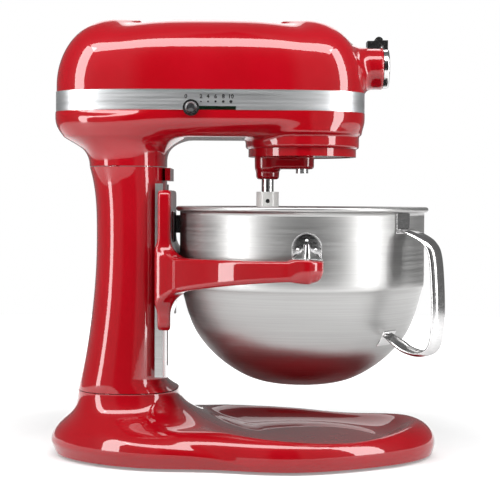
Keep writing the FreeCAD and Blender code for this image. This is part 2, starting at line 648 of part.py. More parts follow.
def make_motor():
    stator_length = f"({STATOR_FRONT} - {STATOR_REAR})"
    rear, front = (STATOR_REAR, "0", MOTOR_Z), (STATOR_FRONT, "0", MOTOR_Z)
    node("motor_stator", tube("stator", "dim.stator_bore", "dim.stator_radius", stator_length, rear, ALONG_X))
    coil = ("dim.stator_bore + 2", "dim.stator_radius - 3", COIL_LENGTH)
    node("field_coils", group(
        "coils",
        tube("coil_rear", *coil, (f"{STATOR_REAR} - {COIL_LENGTH}", "0", MOTOR_Z), ALONG_X),
        tube("coil_front", *coil, front, ALONG_X)))
    shaft_hole = f"(dim.motor_shaft_radius + {BEARING_WALL})"
    end_plate = "dim.bracket_thickness"
    node("motor_rear_bracket", turned("rear_cup", [
        (shaft_hole, "0"), ("dim.stator_radius", "0"), ("dim.stator_radius", f"{STATOR_REAR} - dim.motor_rear"),
        ("dim.stator_radius - 2.5", f"{STATOR_REAR} - dim.motor_rear"), ("dim.stator_radius - 2.5", end_plate),
        (shaft_hole, end_plate)], ("dim.motor_rear", "0", MOTOR_Z), ALONG_X))
    node("motor_front_bracket", turned("front_cup", [
        (shaft_hole, f"dim.motor_front - {STATOR_FRONT}"),
        (shaft_hole, f"dim.motor_front - {STATOR_FRONT} - {end_plate}"),
        ("dim.stator_radius - 2.5", f"dim.motor_front - {STATOR_FRONT} - {end_plate}"),
        ("dim.stator_radius - 2.5", "0"), ("dim.stator_radius", "0"),
        ("dim.stator_radius", f"dim.motor_front - {STATOR_FRONT}")], front, ALONG_X))
    bearing = ("dim.motor_shaft_radius + dim.running_clearance", shaft_hole, end_plate)
    node("armature_bearings", group(
        "motor_bearings",
        tube("bearing_rear", *bearing, ("dim.motor_rear", "0", MOTOR_Z), ALONG_X),
        tube("bearing_front", *bearing, (f"dim.motor_front - {end_plate}", "0", MOTOR_Z), ALONG_X)))
    shaft = rod("armature_rod", [
        ("dim.motor_shaft_radius", "0", "dim.spur_place + dim.spur_face / 2 - dim.motor_rear")],
        ("dim.motor_rear", "0", MOTOR_Z), ALONG_X)
    pinion = make_spur_on_x("motor_pinion", D.motor_pinion_teeth, math.pi, D.motor_shaft_radius - 1, motor_axis())
    node("armature_shaft", fuse("armature_shaft_with_pinion", shaft, pinion))
    node("armature_core", tube("armature_stack", "dim.motor_shaft_radius", "dim.armature_radius",
                               stator_length, rear, ALONG_X))
    node("commutator", tube("commutator_ring", "dim.motor_shaft_radius", "11", "8",
                            (f"{STATOR_REAR} - 18", "0", MOTOR_Z), ALONG_X))
    holders = [primitive("Box", name, (f"{STATOR_REAR} - 17", corner_y, f"{MOTOR_Z} - 3"),
                         Length="6", Width="dim.stator_radius - 3 - 11.4", Height="6")
               for name, corner_y in (("brush_box_left", "11.4"), ("brush_box_right", "3 - dim.stator_radius"))]
    node("brush_holders", group("brush_boxes", *holders))
    node("cooling_fan", make_fan())


def make_fan():
    """Radial fan on the armature shaft: a thin disc with nine blades."""
    x = D.motor_front - D.bracket_thickness - 5.5
    axis_point = Vector(x, 0, motor_axis())
    fan = Part.makeCylinder(D.stator_radius - 6, 1.5, axis_point + Vector(3.5, 0, 0), Vector(1, 0, 0))
    for i in range(9):
        blade = Part.makeBox(4, 1.2, D.stator_radius - 17, axis_point + Vector(0, -0.6, 11))
        fan = fan.fuse(blade.rotated(axis_point, Vector(1, 0, 0), 40 * i))
    bore = Part.makeCylinder(D.motor_shaft_radius, 20, axis_point - Vector(5, 0, 0), Vector(1, 0, 0))
    return feature("fan_wheel", fan.cut(bore))


def make_gear_case():
    """The cast carrier inside the head: a floor, three bearing walls and the centre shaft's tower."""
    floor_z, wall_width = "dim.head_bottom + 12", "52"
    wall_height = f"(dim.hub_axis + 12 - ({floor_z}))"
    floor_rear, front_wall, front_width = "dim.layshaft_rear", "(dim.bowl_axis + 37.5)", "30"
    floor = primitive("Box", "case_floor", (floor_rear, f"-{wall_width} / 2", floor_z),
                      Length=f"dim.bowl_axis + 18 - ({floor_rear})", Width=wall_width, Height="6")
    front_floor = primitive("Box", "case_front_floor", ("dim.bowl_axis", f"-{front_width} / 2", floor_z),
                            Length=f"{front_wall} + 7 - dim.bowl_axis", Width=front_width, Height="6")
    walls = [primitive("Box", f"case_wall_{i}", (x, f"-{width} / 2", floor_z),
                       Length=length, Width=width, Height=wall_height)
             for i, (x, length, width) in enumerate(((floor_rear, "6", wall_width), ("2", "7", wall_width),
                                                     (front_wall, "7", front_width)))]
    tower = cylinder("case_tower", "15", "32", ("dim.bowl_axis", "0", f"({floor_z}) - 6"))
    posts = [cylinder(f"case_post_{i}", "2.5", "21", (x, "-26", "dim.band_bottom + 5"), ALONG_MINUS_Y)
             for i, x in enumerate(("dim.layshaft_rear + 3", "5.5"))]
    bearing_bore = "dim.layshaft_radius + 4.5"
    bores = [
        cylinder("bore_layshaft", bearing_bore, "90", ("dim.layshaft_rear - 5", "0", HUB_Z), ALONG_X),
        cylinder("wheel_room", "dim.bevel_module * dim.bevel_teeth / 2 + 6.6", "13",
                 ("dim.bowl_axis", "0", f"{HUB_Z} - 21.4")),
        cylinder("bore_hub", "10", "20", (f"{front_wall} - 5", "0", HUB_Z), ALONG_X),
        cylinder("bore_motor", "dim.motor_shaft_radius + 2", "20", ("dim.layshaft_rear - 5", "0", MOTOR_Z), ALONG_X),
        cylinder("bore_centre", "11", "80", ("dim.bowl_axis", "0", f"({floor_z}) - 20"))]
    solid = fuse("gear_case_solid", floor, front_floor, tower, *walls, *posts)
    node("gear_case", cut("gear_case_casting", solid, *bores))
    bearing = ("dim.layshaft_radius + dim.running_clearance", bearing_bore)
    centre = ("dim.centre_shaft_radius + dim.running_clearance", "11", "7")
    node("gear_case_bearings", group(
        "gear_case_bearing_set",
        tube("layshaft_bearing_rear", *bearing, "6", ("dim.layshaft_rear", "0", HUB_Z), ALONG_X),
        tube("layshaft_bearing_front", *bearing, "7", ("2", "0", HUB_Z), ALONG_X),
        tube("centre_bearing_low", *centre, ("dim.bowl_axis", "0", f"({floor_z}) - 5")),
        tube("centre_bearing_high", *centre, ("dim.bowl_axis", "0", f"({floor_z}) + 18")),
        tube("hub_bearing", "7 + dim.running_clearance", "10", "7", (front_wall, "0", HUB_Z), ALONG_X)))
    board = box("board_plate", "70", "1.6", "22", ("-31", "-47.8", "dim.band_bottom - 5"))
    parts_on_board = [box(f"board_part_{i}", str(10 + 4 * i), "8", "7",
                          (str(-52 + 22 * i), "-43", "dim.band_bottom + 8"))
                      for i in range(2)]
    node("speed_control_board", fuse("board", board, *parts_on_board))


def make_shafts():
    node("layshaft", rod("layshaft_rod", [
        ("dim.layshaft_radius", "0", "dim.bowl_axis - 27 - dim.layshaft_rear")],
        ("dim.layshaft_rear", "0", HUB_Z), ALONG_X))
    node("layshaft_gear", make_spur_on_x("layshaft_wheel", D.layshaft_teeth, math.pi / D.layshaft_teeth,
                                         D.layshaft_radius, D.hub_axis))
    node("bevel_pinion", make_bevel_pinion("layshaft_bevel", -1, D.layshaft_radius))
    socket_front = "(dim.bowl_axis + 48.5)"
    drive = rod("hub_drive_rod", [("4.5", "0", "10.4"), ("7", "10.4", f"{socket_front} - dim.bowl_axis - 27")],
                ("dim.bowl_axis + 27", "0", HUB_Z), ALONG_X)
    socket = primitive("Box", "drive_socket", (f"{socket_front} - 9", "-4.1", f"{HUB_Z} - 4.1"),
                       Length="20", Width="8.2", Height="8.2")
    pinion = make_bevel_pinion("hub_bevel", 1, 3.5)
    node("hub_drive_shaft", cut("hub_drive", fuse("hub_drive_solid", drive, pinion), socket))
    node("ring_gear", make_ring_gear())
    node("drip_ring", tube("drip_ring_band", "dim.drip_ring_inner", "dim.drip_ring_outer",
                           "dim.boss_bottom - dim.drip_ring_bottom", ("dim.bowl_axis", "0", "dim.drip_ring_bottom")))
    node("centre_shaft", rod("centre_rod", [
        ("dim.centre_shaft_radius", "0", "dim.hub_axis - 7 - dim.carrier_bottom + 4")],
        ("dim.bowl_axis", "0", "dim.carrier_bottom - 4")))
    node("bevel_gear", make_bevel_gear())
    node("retaining_ring", tube("circlip", "dim.centre_shaft_radius", "dim.centre_shaft_radius + 3.5", "2",
                                ("dim.bowl_axis", "0", "dim.carrier_bottom - 2")))


PLANET_X = "dim.bowl_axis - dim.planet_offset"


def make_planetary():
    thickness = "dim.carrier_top - dim.carrier_bottom"
    middle = ("dim.bowl_axis", "0", "dim.carrier_bottom")
    planet = (PLANET_X, "0", "dim.carrier_bottom")
    arm = primitive("Box", "carrier_arm", (PLANET_X, "-dim.carrier_radius", "dim.carrier_bottom"),
                    Length="dim.planet_offset", Width="2 * dim.carrier_radius", Height=thickness)
    solid = fuse(
        "carrier_solid", arm,
        cylinder("carrier_middle", "dim.carrier_radius", thickness, middle),
        cylinder("carrier_end", "dim.carrier_radius", thickness, planet),
        cylinder("carrier_hub", "11", "dim.ring_gear_bottom + 8 - dim.carrier_bottom", middle),
        cylinder("planet_neck", "10", "dim.ring_gear_bottom - 1 - dim.carrier_bottom", planet),
        cylinder("planet_boss", "dim.carrier_radius - 1", "10", (PLANET_X, "0", "dim.carrier_bottom - 10")))
    bores = [cylinder("carrier_bore", "dim.centre_shaft_radius", "80",
                      ("dim.bowl_axis", "0", "dim.carrier_bottom - 20")),
             cylinder("planet_bore", "dim.agitator_radius + dim.running_clearance", "80",
                      (PLANET_X, "0", "dim.carrier_bottom - 20"))]
    node("planetary_housing", cut("carrier", solid, *bores))


BEATER_OUTLINE = ((11, 232), (34, 216), (62, 204), (78, 188), (79, 172), (71, 146), (61, 128), (46, 111),
                  (27, 97), (9, 91))
BEATER_BAR, BEATER_THICKNESS = 9, 8
PIN_BELOW_COLLAR = 9


def make_beater():
    """Flat beater: a collar for the agitator shaft over a leaf-shaped frame with three ribs."""
    right = [Vector(x, 0, z) for x, z in BEATER_OUTLINE]
    left = [Vector(-x, 0, z) for x, z in reversed(BEATER_OUTLINE)]
    outer = Part.makePolygon(right + left + right[:1])
    rounded_outer = outer.makeOffset2D(-6).makeOffset2D(6)
    inner = outer.makeOffset2D(-BEATER_BAR - 5).makeOffset2D(5)
    frame = Part.Face(rounded_outer).cut(Part.Face(inner)).extrude(Vector(0, BEATER_THICKNESS, 0))
    frame.translate(Vector(0, -BEATER_THICKNESS / 2, 0))
    silhouette = Part.Face(rounded_outer).extrude(Vector(0, BEATER_THICKNESS, 0))
    silhouette.translate(Vector(0, -BEATER_THICKNESS / 2, 0))
    low = BEATER_OUTLINE[-1][1]
    spine = Part.makeBox(8, BEATER_THICKNESS - 1, D.agitator_bottom - low + 8,
                         Vector(-4, -(BEATER_THICKNESS - 1) / 2, low))
    ribs = [spine]
    for side in (-1, 1):
        rib = Part.makeBox(110, BEATER_THICKNESS - 2, 7, Vector(0, -(BEATER_THICKNESS - 2) / 2, -3.5))
        rib.rotate(Vector(), Vector(0, 1, 0), -38 if side > 0 else -142)
        ribs.append(rib.translated(Vector(0, 0, 128)))
    collar = Part.makeCylinder(D.collar_radius, D.collar_top - D.agitator_bottom + 4,
                               Vector(0, 0, D.agitator_bottom - 4))
    beater = frame.multiFuse([rib.common(silhouette) for rib in ribs]).fuse(collar)
    bore = Part.makeCylinder(D.agitator_radius, 60, Vector(0, 0, D.agitator_bottom))
    pin_z = D.collar_top - PIN_BELOW_COLLAR
    slot = Part.makeCylinder(2, 40, Vector(0, -20, pin_z), Vector(0, 1, 0))
    beater = beater.cut(bore).cut(slot)
    beater.translate(Vector(D.bowl_axis - D.planet_offset, 0, 0))
    return feature("beater_casting", beater.removeSplitter())


def make_agitator():
    shaft = rod("agitator_rod", [("dim.agitator_radius", "0", "dim.ring_gear_bottom + dim.ring_gear_height"
                                  " - dim.agitator_bottom")], (PLANET_X, "0", "dim.agitator_bottom"))
    pin = ("2", "2 * dim.collar_radius")
    start = (PLANET_X, "-dim.collar_radius", f"dim.collar_top - {PIN_BELOW_COLLAR}")
    pin_hole = cylinder("agitator_pin_hole", *pin, start, ALONG_Y)
    node("agitator_shaft", cut("agitator_shaft_drilled", shaft, pin_hole))
    node("agitator_pin", cylinder("agitator_pin_rod", *pin, start, ALONG_Y))
    node("planet_pinion", make_planet_pinion())
    node("beater", make_beater())


# ---------------------------------------------------------------------------------------------
# Attachment hub: sleeve, hinged cover, clamping knob
# ---------------------------------------------------------------------------------------------
HINGE = ("dim.hinge_x", "dim.hinge_z")
CURL_HALF_WIDTH, EAR_THICKNESS = 6, 2.6
CURL_RADIUS = 4


def make_hub():
    sleeve = turned("sleeve_tube", [
        ("dim.hub_bore", "0"), ("dim.sleeve_outer", "0"),
        ("dim.sleeve_outer", "dim.nose_front - dim.bowl_axis - 49"),
        ("dim.hub_bore", "dim.nose_front - dim.bowl_axis - 49")], ("dim.bowl_axis + 49", "0", HUB_Z), ALONG_X)
    screw_hole = cylinder("sleeve_screw_hole", "dim.knob_screw_radius + dim.running_clearance", "30",
                          ("dim.knob_x", "0", HUB_Z), ALONG_Y)
    node("hub_sleeve", cut("hub_sleeve_tube", sleeve, screw_hole))
    node("hub_hinge_bracket", make_hinge_bracket())
    node("hub_cover", make_hub_cover())
    reach = CURL_HALF_WIDTH + EAR_THICKNESS
    node("hub_cover_pin", cylinder("cover_pin", "dim.hinge_pin_radius", str(2 * reach),
                                   (HINGE[0], str(-reach), HINGE[1]), ALONG_Y))
    grip = turned("knob_grip", [
        ("0", "0"), ("dim.knob_radius - 2", "0"), ("dim.knob_radius", "2"), ("dim.knob_radius", "12"),
        ("dim.knob_radius - 2", "14"), ("0", "14")],
        ("dim.knob_x", "dim.nose_radius + dim.knob_stand_off", HUB_Z), ALONG_Y)
    screw = cylinder("knob_screw", "dim.knob_screw_radius",
                     "dim.nose_radius + dim.knob_stand_off + 1 - dim.hub_bore - 0.4",
                     ("dim.knob_x", "dim.hub_bore + 0.4", HUB_Z), ALONG_Y)
    node("hub_knob", fuse("knob_with_screw", grip, screw))


def make_hinge_bracket():
    """Two ears and a bridge that stand on the hub's nose."""
    inner = CURL_HALF_WIDTH + D.gap
    foot = D.hub_axis + D.nose_radius - 4
    bracket = Part.makeBox(6, 2 * (inner + EAR_THICKNESS - D.gap), D.hinge_z - foot,
                           Vector(D.hinge_x - 11, -(inner + EAR_THICKNESS - D.gap), foot))
    for side in (-1, 1):
        y = inner if side > 0 else -inner - EAR_THICKNESS + D.gap
        ear = Part.makeBox(8, EAR_THICKNESS - D.gap, D.hinge_z - foot, Vector(D.hinge_x - 6, y, foot))
        eye = Part.makeCylinder(CURL_RADIUS, EAR_THICKNESS - D.gap, Vector(D.hinge_x, y, D.hinge_z),
                                Vector(0, 1, 0))
        bracket = bracket.fuse(ear).fuse(eye)
    pin = Part.makeCylinder(D.hinge_pin_radius + D.running_clearance, 40, Vector(D.hinge_x, -20, D.hinge_z),
                            Vector(0, 1, 0))
    return feature("hinge_bracket_piece", bracket.cut(hub_nose()).cut(pin).removeSplitter())


def make_hub_cover():
    """Round cover hung from a curl above the nose."""
    back = D.nose_front + D.gap + 0.1
    disc = Part.makeCylinder(D.cover_radius, D.cover_thickness, Vector(back, 0, D.hub_axis), Vector(1, 0, 0))
    rim = [edge for edge in disc.Edges if abs(edge.BoundBox.XMax - back - D.cover_thickness) < 0.01
           and edge.BoundBox.XLength < 0.01]
    disc = disc.makeFillet(2.0, rim)
    under = D.hub_axis + D.nose_radius + 1.6
    tab = Part.makeBox(D.cover_thickness - 1, 2 * CURL_HALF_WIDTH, D.hinge_z - D.hub_axis - D.cover_radius + 7,
                       Vector(back, -CURL_HALF_WIDTH, D.hub_axis + D.cover_radius - 6))
    arm = Part.makeBox(back + D.cover_thickness - 1 - D.hinge_x, 2 * CURL_HALF_WIDTH, D.hinge_z + 1 - under,
                       Vector(D.hinge_x, -CURL_HALF_WIDTH, under))
    curl = Part.makeCylinder(CURL_RADIUS, 2 * CURL_HALF_WIDTH, Vector(D.hinge_x, -CURL_HALF_WIDTH, D.hinge_z),
                             Vector(0, 1, 0))
    pin = Part.makeCylinder(D.hinge_pin_radius, 40, Vector(D.hinge_x, -20, D.hinge_z), Vector(0, 1, 0))
    return feature("hub_cover_plate", disc.fuse(tab).fuse(arm).fuse(curl).cut(pin).removeSplitter())


# ---------------------------------------------------------------------------------------------
# Speed lever
# ---------------------------------------------------------------------------------------------
def make_speed_lever():
    place_of = lambda y: ("dim.lever_x", y, "dim.lever_z")
    node("speed_lever_arm", fuse(
        "lever_arm",
        cylinder("lever_rod", "dim.lever_arm_radius", "dim.lever_knob_y - 50", place_of("-50"), ALONG_MINUS_Y),
        box("lever_slider", "8", "2", "8", ("dim.lever_x", "-50.4", "dim.lever_z - 4"))))
    ring_y = "-(dim.head_half_width + 2.2)"
    node("speed_lever_ring", tube("lever_ring", "dim.lever_knob_radius - 1.3", "dim.lever_knob_radius + 0.8", "5",
                                  place_of(ring_y), ALONG_MINUS_Y))
    knob = turned("lever_knob", [
        ("0", "0"), ("dim.lever_knob_radius - 1.3", "0"), ("dim.lever_knob_radius - 1.3", "5.6"),
        ("dim.lever_knob_radius - 3", "8"), ("0", "9")], place_of(ring_y), ALONG_MINUS_Y)
    bore = cylinder("lever_knob_bore", "dim.lever_arm_radius", f"dim.lever_knob_y - 50", place_of("-50"),
                    ALONG_MINUS_Y)
    node("speed_lever_knob", cut("lever_knob_bored", knob, bore))


# ---------------------------------------------------------------------------------------------
# Bowl with its handle, brackets and clip
# ---------------------------------------------------------------------------------------------
BOWL_CURVE = ((118, 170), (115.9, 161), (108.5, 134.5), (99.3, 116), (83.4, 97.6), (64.3, 83.3), (45, 74.3),
              (22, 70))


def bowl_profile(inset):
    """The half profile of the bowl from the rim down to its axis, drawn in by an inset."""
    scale = (D.bowl_radius - inset) / D.bowl_radius
    points = [Vector(r * scale, 0, z + inset * (1.0 if z < 120 else 0.5))
              for r, z in ((r * D.bowl_radius / 118, z) for r, z in BOWL_CURVE)]
    curve = Part.BSplineCurve()
    end = Vector(0, 0, D.bowl_bottom + inset)
    curve.interpolate(Points=points + [end], InitialTangent=Vector(0, 0, -1), FinalTangent=Vector(-1, 0, 0))
    top = Vector(D.bowl_radius - inset, 0, D.bowl_rim - 2)
    return [Part.LineSegment(top, points[0]).toShape(), curve.toShape()], top, end


def make_bowl():
    outer_edges, outer_top, outer_end = bowl_profile(0)
    inner_edges, inner_top, inner_end = bowl_profile(D.bowl_wall)
    edges = outer_edges + inner_edges + [Part.LineSegment(outer_top, inner_top).toShape(),
                                         Part.LineSegment(outer_end, inner_end).toShape()]
    face = Part.Face(Part.Wire(Part.__sortEdges__(edges)))
    shell = face.revolve(Vector(), Vector(0, 0, 1), 360)
    bead_radius = (D.bowl_bead_radius - D.bowl_radius + D.bowl_wall) / 2
    bead = Part.makeTorus(D.bowl_bead_radius - bead_radius, bead_radius, Vector(0, 0, D.bowl_rim - bead_radius))
    bowl = shell.fuse(bead)
    bowl.translate(Vector(D.bowl_axis, 0, 0))
    return feature("bowl_shell", bowl)


def around_bowl(shape, degrees):
    """Turn a shape made in the radial XZ plane round the bowl's axis, and move it there."""
    return shape.rotated(Vector(), Vector(0, 0, 1), degrees).translated(Vector(D.bowl_axis, 0, 0))


def bowl_core(radius):
    return Part.makeCylinder(radius, 400)


def make_bowl_handle():
    """Bent strap: a tab under the rim, a grip that stands off, and a foot on the bowl's side."""
    wall, reach = D.bowl_radius, D.handle_reach
    path = [(wall - 4, 213), (wall + 18, 217), (reach - 2, 206), (reach, 150), (reach - 8, 122), (wall + 6, 109),
            (wall - 20, 112), (wall - 20, 112 + D.strap), (wall + 5, 109 + D.strap), (reach - 8 - D.strap, 124),
            (reach - D.strap, 150), (reach - 2 - D.strap, 203), (wall + 18, 217 - D.strap), (wall - 4, 213 - D.strap)]
    outline = Part.makePolygon([Vector(r, -D.handle_width / 2, z) for r, z in path + path[:1]])
    strap = Part.Face(outline).extrude(Vector(0, D.handle_width, 0))
    tab = Part.makeBox(6, D.handle_width + 6, 26, Vector(wall - 3, -D.handle_width / 2 - 3, D.bowl_rim - 31))
    tab = tab.common(bowl_core(wall + 1.6))
    foot = Part.makeBox(16, D.handle_width + 4, 14, Vector(wall - 22, -D.handle_width / 2 - 2, 108))
    outside = bowl_solid()
    handle = strap.fuse(tab).fuse(foot.common(outside_skin(1.4))).cut(outside)
    solids = sorted(handle.Solids, key=lambda solid: solid.Volume)
    return feature("handle_strap", around_bowl(solids[-1], D.handle_angle))


def bowl_solid():
    """The bowl filled in, on the Z axis."""
    return outside_skin(0)


def outside_skin(thickness):
    """Everything within a thickness of the bowl's outside, on the Z axis."""
    edges, top, end = bowl_profile(-thickness)
    axis_top = Vector(0, 0, top.z)
    edges += [Part.LineSegment(top, axis_top).toShape(), Part.LineSegment(axis_top, end).toShape()]
    return Part.Face(Part.Wire(Part.__sortEdges__(edges))).revolve(Vector(), Vector(0, 0, 1), 360)


BRACKET_WIDTH, BRACKET_HEIGHT, BRACKET_PLATE = 26, 24, 2
WELD_BUTTONS = ((-8, 14), (0, 17), (8, 14))     # along X from the bowl's axis, and up from the boss


def make_bowl_brackets():
    """A plate welded to each side of the bowl, with a flange that drops over the yoke's pin."""
    flange_z = D.boss_top + D.gap
    brackets = []
    for side in (1, -1):
        plate = Part.makeBox(BRACKET_WIDTH, 8, BRACKET_HEIGHT,
                             Vector(D.bowl_axis - BRACKET_WIDTH / 2, D.bowl_radius - 4, flange_z))
        skin = Part.makeCylinder(D.bowl_radius + BRACKET_PLATE, 60, Vector(D.bowl_axis, 0, flange_z - 5)).cut(
            Part.makeCylinder(D.bowl_radius, 60, Vector(D.bowl_axis, 0, flange_z - 5)))
        flange = Part.makeBox(BRACKET_WIDTH, D.pin_offset + 9 - D.bowl_radius - 0.5, BRACKET_PLATE,
                              Vector(D.bowl_axis - BRACKET_WIDTH / 2, D.bowl_radius + 0.5, flange_z))
        hole = Part.makeCylinder(D.pin_radius + D.gap, 10, Vector(D.bowl_axis, D.pin_offset, flange_z - 4))
        bracket = plate.common(skin).fuse(flange).cut(hole)
        for across, up in WELD_BUTTONS:
            bracket = bracket.fuse(Part.makeCylinder(2, 1.2, Vector(
                D.bowl_axis + across, D.bowl_radius + BRACKET_PLATE - 1, D.boss_top + up), Vector(0, 1, 0)))
        brackets.append(bracket if side > 0 else mirrored(bracket))
    return feature("bracket_pair", Part.makeCompound(brackets))


def make_bowl_clip():
    """Block on the back of the bowl that the yoke's spring holds."""
    clip = Part.makeBox(6, 18, 17, Vector(D.bowl_axis - D.bowl_radius - 3.6, -9, 215))
    core = Part.makeCylinder(D.bowl_radius, 60, Vector(D.bowl_axis, 0, 200))
    return feature("clip_block", clip.cut(core))


# ---------------------------------------------------------------------------------------------
# Bowl lift: yoke, rails, slider, crank and lever
# ---------------------------------------------------------------------------------------------
def arm_section(degrees):
    """One section of the yoke's arm: deep at the root, shallow at the boss."""
    share = (degrees - 90) / (ARM_ROOT_ANGLE - 90)
    bottom = D.arm_boss_bottom + 2 - (D.arm_boss_bottom + 2 - D.arm_root_bottom) * share ** 1.6
    middle, depth = (D.boss_top - 0.5 + bottom) / 2, (D.boss_top - 0.5 - bottom) / 2
    radius, half = D.arm_inner + D.arm_thickness / 2, D.arm_thickness / 2
    a = math.radians(degrees)

    def point(angle):
        c, s = rounded(angle, 4.5)
        r = radius + half * c
        return Vector(D.bowl_axis + r * math.cos(a), r * math.sin(a), middle + depth * s)
    return ring(point, 24)


ARM_ROOT_ANGLE = 160


def make_yoke():
    front = D.column_front - D.gap - 0.2
    web = Part.makeBox(D.yoke_thickness, 2 * D.yoke_half_width, D.yoke_top - D.yoke_bottom,
                       Vector(-front, -D.yoke_half_width, D.yoke_bottom))
    verticals = [edge for edge in web.Edges if edge.BoundBox.ZLength < 0.01 and edge.BoundBox.XLength > 1]
    web = web.makeFillet(14, verticals)
    arm = loft([arm_section(angle) for angle in levels(90, ARM_ROOT_ANGLE, 7)])
    boss = Part.makeCylinder(D.arm_boss_radius, D.boss_top - D.arm_boss_bottom,
                             Vector(D.bowl_axis, D.pin_offset, D.arm_boss_bottom))
    low = [edge for edge in boss.Edges if edge.BoundBox.ZMax < D.arm_boss_bottom + 0.01]
    boss = boss.makeFillet(5, low)
    cheek = Part.makeBox(13, D.yoke_half_width - D.rail_inner - D.gap, D.yoke_top - D.yoke_bottom - 28,
                         Vector(-front - 11, D.rail_inner + D.gap, D.yoke_bottom + 14))
    bowl_room = Part.makeCylinder(D.arm_inner, 120, Vector(D.bowl_axis, 0, D.yoke_bottom - 10))
    yoke = web
    for piece in (arm.fuse(boss), cheek):
        yoke = yoke.fuse(piece).fuse(mirrored(piece))
    keep_web = Part.makeBox(40, 2 * D.yoke_half_width + 1, 200, Vector(-front - 20, -D.yoke_half_width - 0.5, 100))
    yoke = yoke.cut(bowl_room.cut(keep_web))
    rail_room = Part.makeBox(D.rail_width + 2 * D.gap, D.rail_thickness + D.gap, 300,
                             Vector(D.rail_x - D.rail_width / 2 - D.gap, D.rail_inner, 50))
    pin_hole = Part.makeCylinder(D.pin_radius, 40, Vector(D.bowl_axis, D.pin_offset, D.boss_top - 12))
    for tool in (rail_room, pin_hole):
        yoke = yoke.cut(tool).cut(mirrored(tool))
    for hole_z in screw_heights():
        yoke = yoke.cut(Part.makeCylinder(2.2, 40, Vector(-front - 10, 0, hole_z), Vector(1, 0, 0)))
    return feature("yoke_casting", yoke.removeSplitter())


def slider_middle():
    """Height of the crank pin, and of the slider's slot, with the bowl raised."""
    return D.lever_axis_z + D.crank_radius * math.sin(math.radians(CRANK_START))


CRANK_START = 120                   # degrees above +X, turning towards 240 as the bowl goes down


def screw_heights():
    return (slider_middle() - 6.5, slider_middle() + 6.5)


def make_locating_pins():
    pins = []
    for side in (1, -1):
        foot = Vector(D.bowl_axis, side * D.pin_offset, D.boss_top - 12)
        shank = Part.makeCylinder(D.pin_radius, 12 + 4, foot)
        tip = Part.makeCone(D.pin_radius, D.pin_radius - 1.3, 10, foot + Vector(0, 0, 16))
        pins.append(shank.fuse(tip))
    return feature("pin_pair", Part.makeCompound(pins))


def make_latch_spring():
    """Bent wire on the yoke's front that snaps over the bowl's clip."""
    front = -(D.column_front - D.gap - 0.2) + D.yoke_thickness
    wire_radius, half = 0.9, 12
    x = front + wire_radius
    corners = [Vector(x, -half, 206), Vector(x, -half, 235), Vector(x, half, 235), Vector(x, half, 206)]
    runs = [Part.makeCylinder(wire_radius, (b - a).Length, a, b - a) for a, b in zip(corners, corners[1:])]
    balls = [Part.makeSphere(wire_radius, corner) for corner in corners[1:3]]
    return feature("latch_wire", runs[0].multiFuse(runs[1:] + balls))


def make_lift():
    middle = slider_middle()
    front = -(D.column_front - D.gap - 0.2)
    slot_low = D.crank_pin_radius + D.slot_clearance
    rear = D.lever_axis_x - D.crank_radius - D.crank_pin_radius - 4.5
    plate = Part.makeBox(front - rear, D.slider_thickness, 2 * D.slider_height,
                         Vector(rear, -D.slider_thickness / 2, middle - D.slider_height))
    slot = Part.makeBox(D.crank_radius / 2 + 2 * D.crank_pin_radius + 4, D.slider_thickness + 2, 2 * slot_low,
                        Vector(rear + 3, -D.slider_thickness / 2 - 1, middle - slot_low))
    plate = plate.cut(slot)
    screws = []
    for hole_z in screw_heights():
        plate = plate.cut(Part.makeCylinder(2.2, 14, Vector(front - 12, 0, hole_z), Vector(1, 0, 0)))
        screws.append(Part.makeCylinder(2.2, 12 + D.yoke_thickness, Vector(front - 12, 0, hole_z), Vector(1, 0, 0)))
    node("lift_slider", feature("slider_plate", plate))
    node("yoke_screws", feature("yoke_screw_pair", Part.makeCompound(screws)))
    shaft_at = lambda y: ("dim.lever_axis_x", y, "dim.lever_axis_z")
    crank_y = "dim.slider_thickness / 2 + 1"
    shaft = cylinder("lift_shaft", "dim.lift_shaft_radius", f"dim.lift_lever_y + 7 - ({crank_y})",
                     shaft_at(crank_y), ALONG_Y)
    node("lift_shaft_bush", tube("lift_bush", "dim.lift_shaft_radius + dim.running_clearance", "8",
                                 "dim.column_wall + 9", shaft_at("dim.column_half_width - 12"), ALONG_Y))
    angle = math.radians(CRANK_START)
    end = Vector(D.crank_radius * math.cos(angle), 0, D.crank_radius * math.sin(angle))
    node("lift_crankshaft", fuse("crank_and_shaft", shaft, make_crank(end)))
    node("lift_lever", make_lift_lever())


def make_crank(end):
    """Arm inside the column with the pin that works in the slider's slot."""
    y = D.slider_thickness / 2 + 1
    axis_point = Vector(D.lever_axis_x, y, D.lever_axis_z)
    hub = Part.makeCylinder(9, 7, axis_point, Vector(0, 1, 0))
    tip = Part.makeCylinder(6, 7, axis_point + end, Vector(0, 1, 0))
    arm = Part.makeBox(end.Length, 7, 10, axis_point + Vector(0, 0, -5))
    arm.rotate(axis_point, Vector(0, 1, 0), -CRANK_START)
    pin = Part.makeCylinder(D.crank_pin_radius, D.slider_thickness + 2, axis_point + end
                            - Vector(0, D.slider_thickness + 1.5, 0), Vector(0, 1, 0))
    return feature("crank_arm", hub.fuse(tip).fuse(arm).fuse(pin).removeSplitter())


def make_lift_lever():
    """Cranked lever on the outside of the column, pointing up, with a ball grip."""
    start = Vector(D.lever_axis_x, D.lift_lever_y, D.lever_axis_z)
    hub = Part.makeCylinder(11, 8, start, Vector(0, 1, 0))
    blade = Part.makeBox(10, 5, D.lift_lever_length - 12, start + Vector(-5, 1.5, 4))
    bore = Part.makeCylinder(D.lift_shaft_radius, 7, start, Vector(0, 1, 0))
    return feature("lever_blade", hub.fuse(blade).cut(bore).removeSplitter())


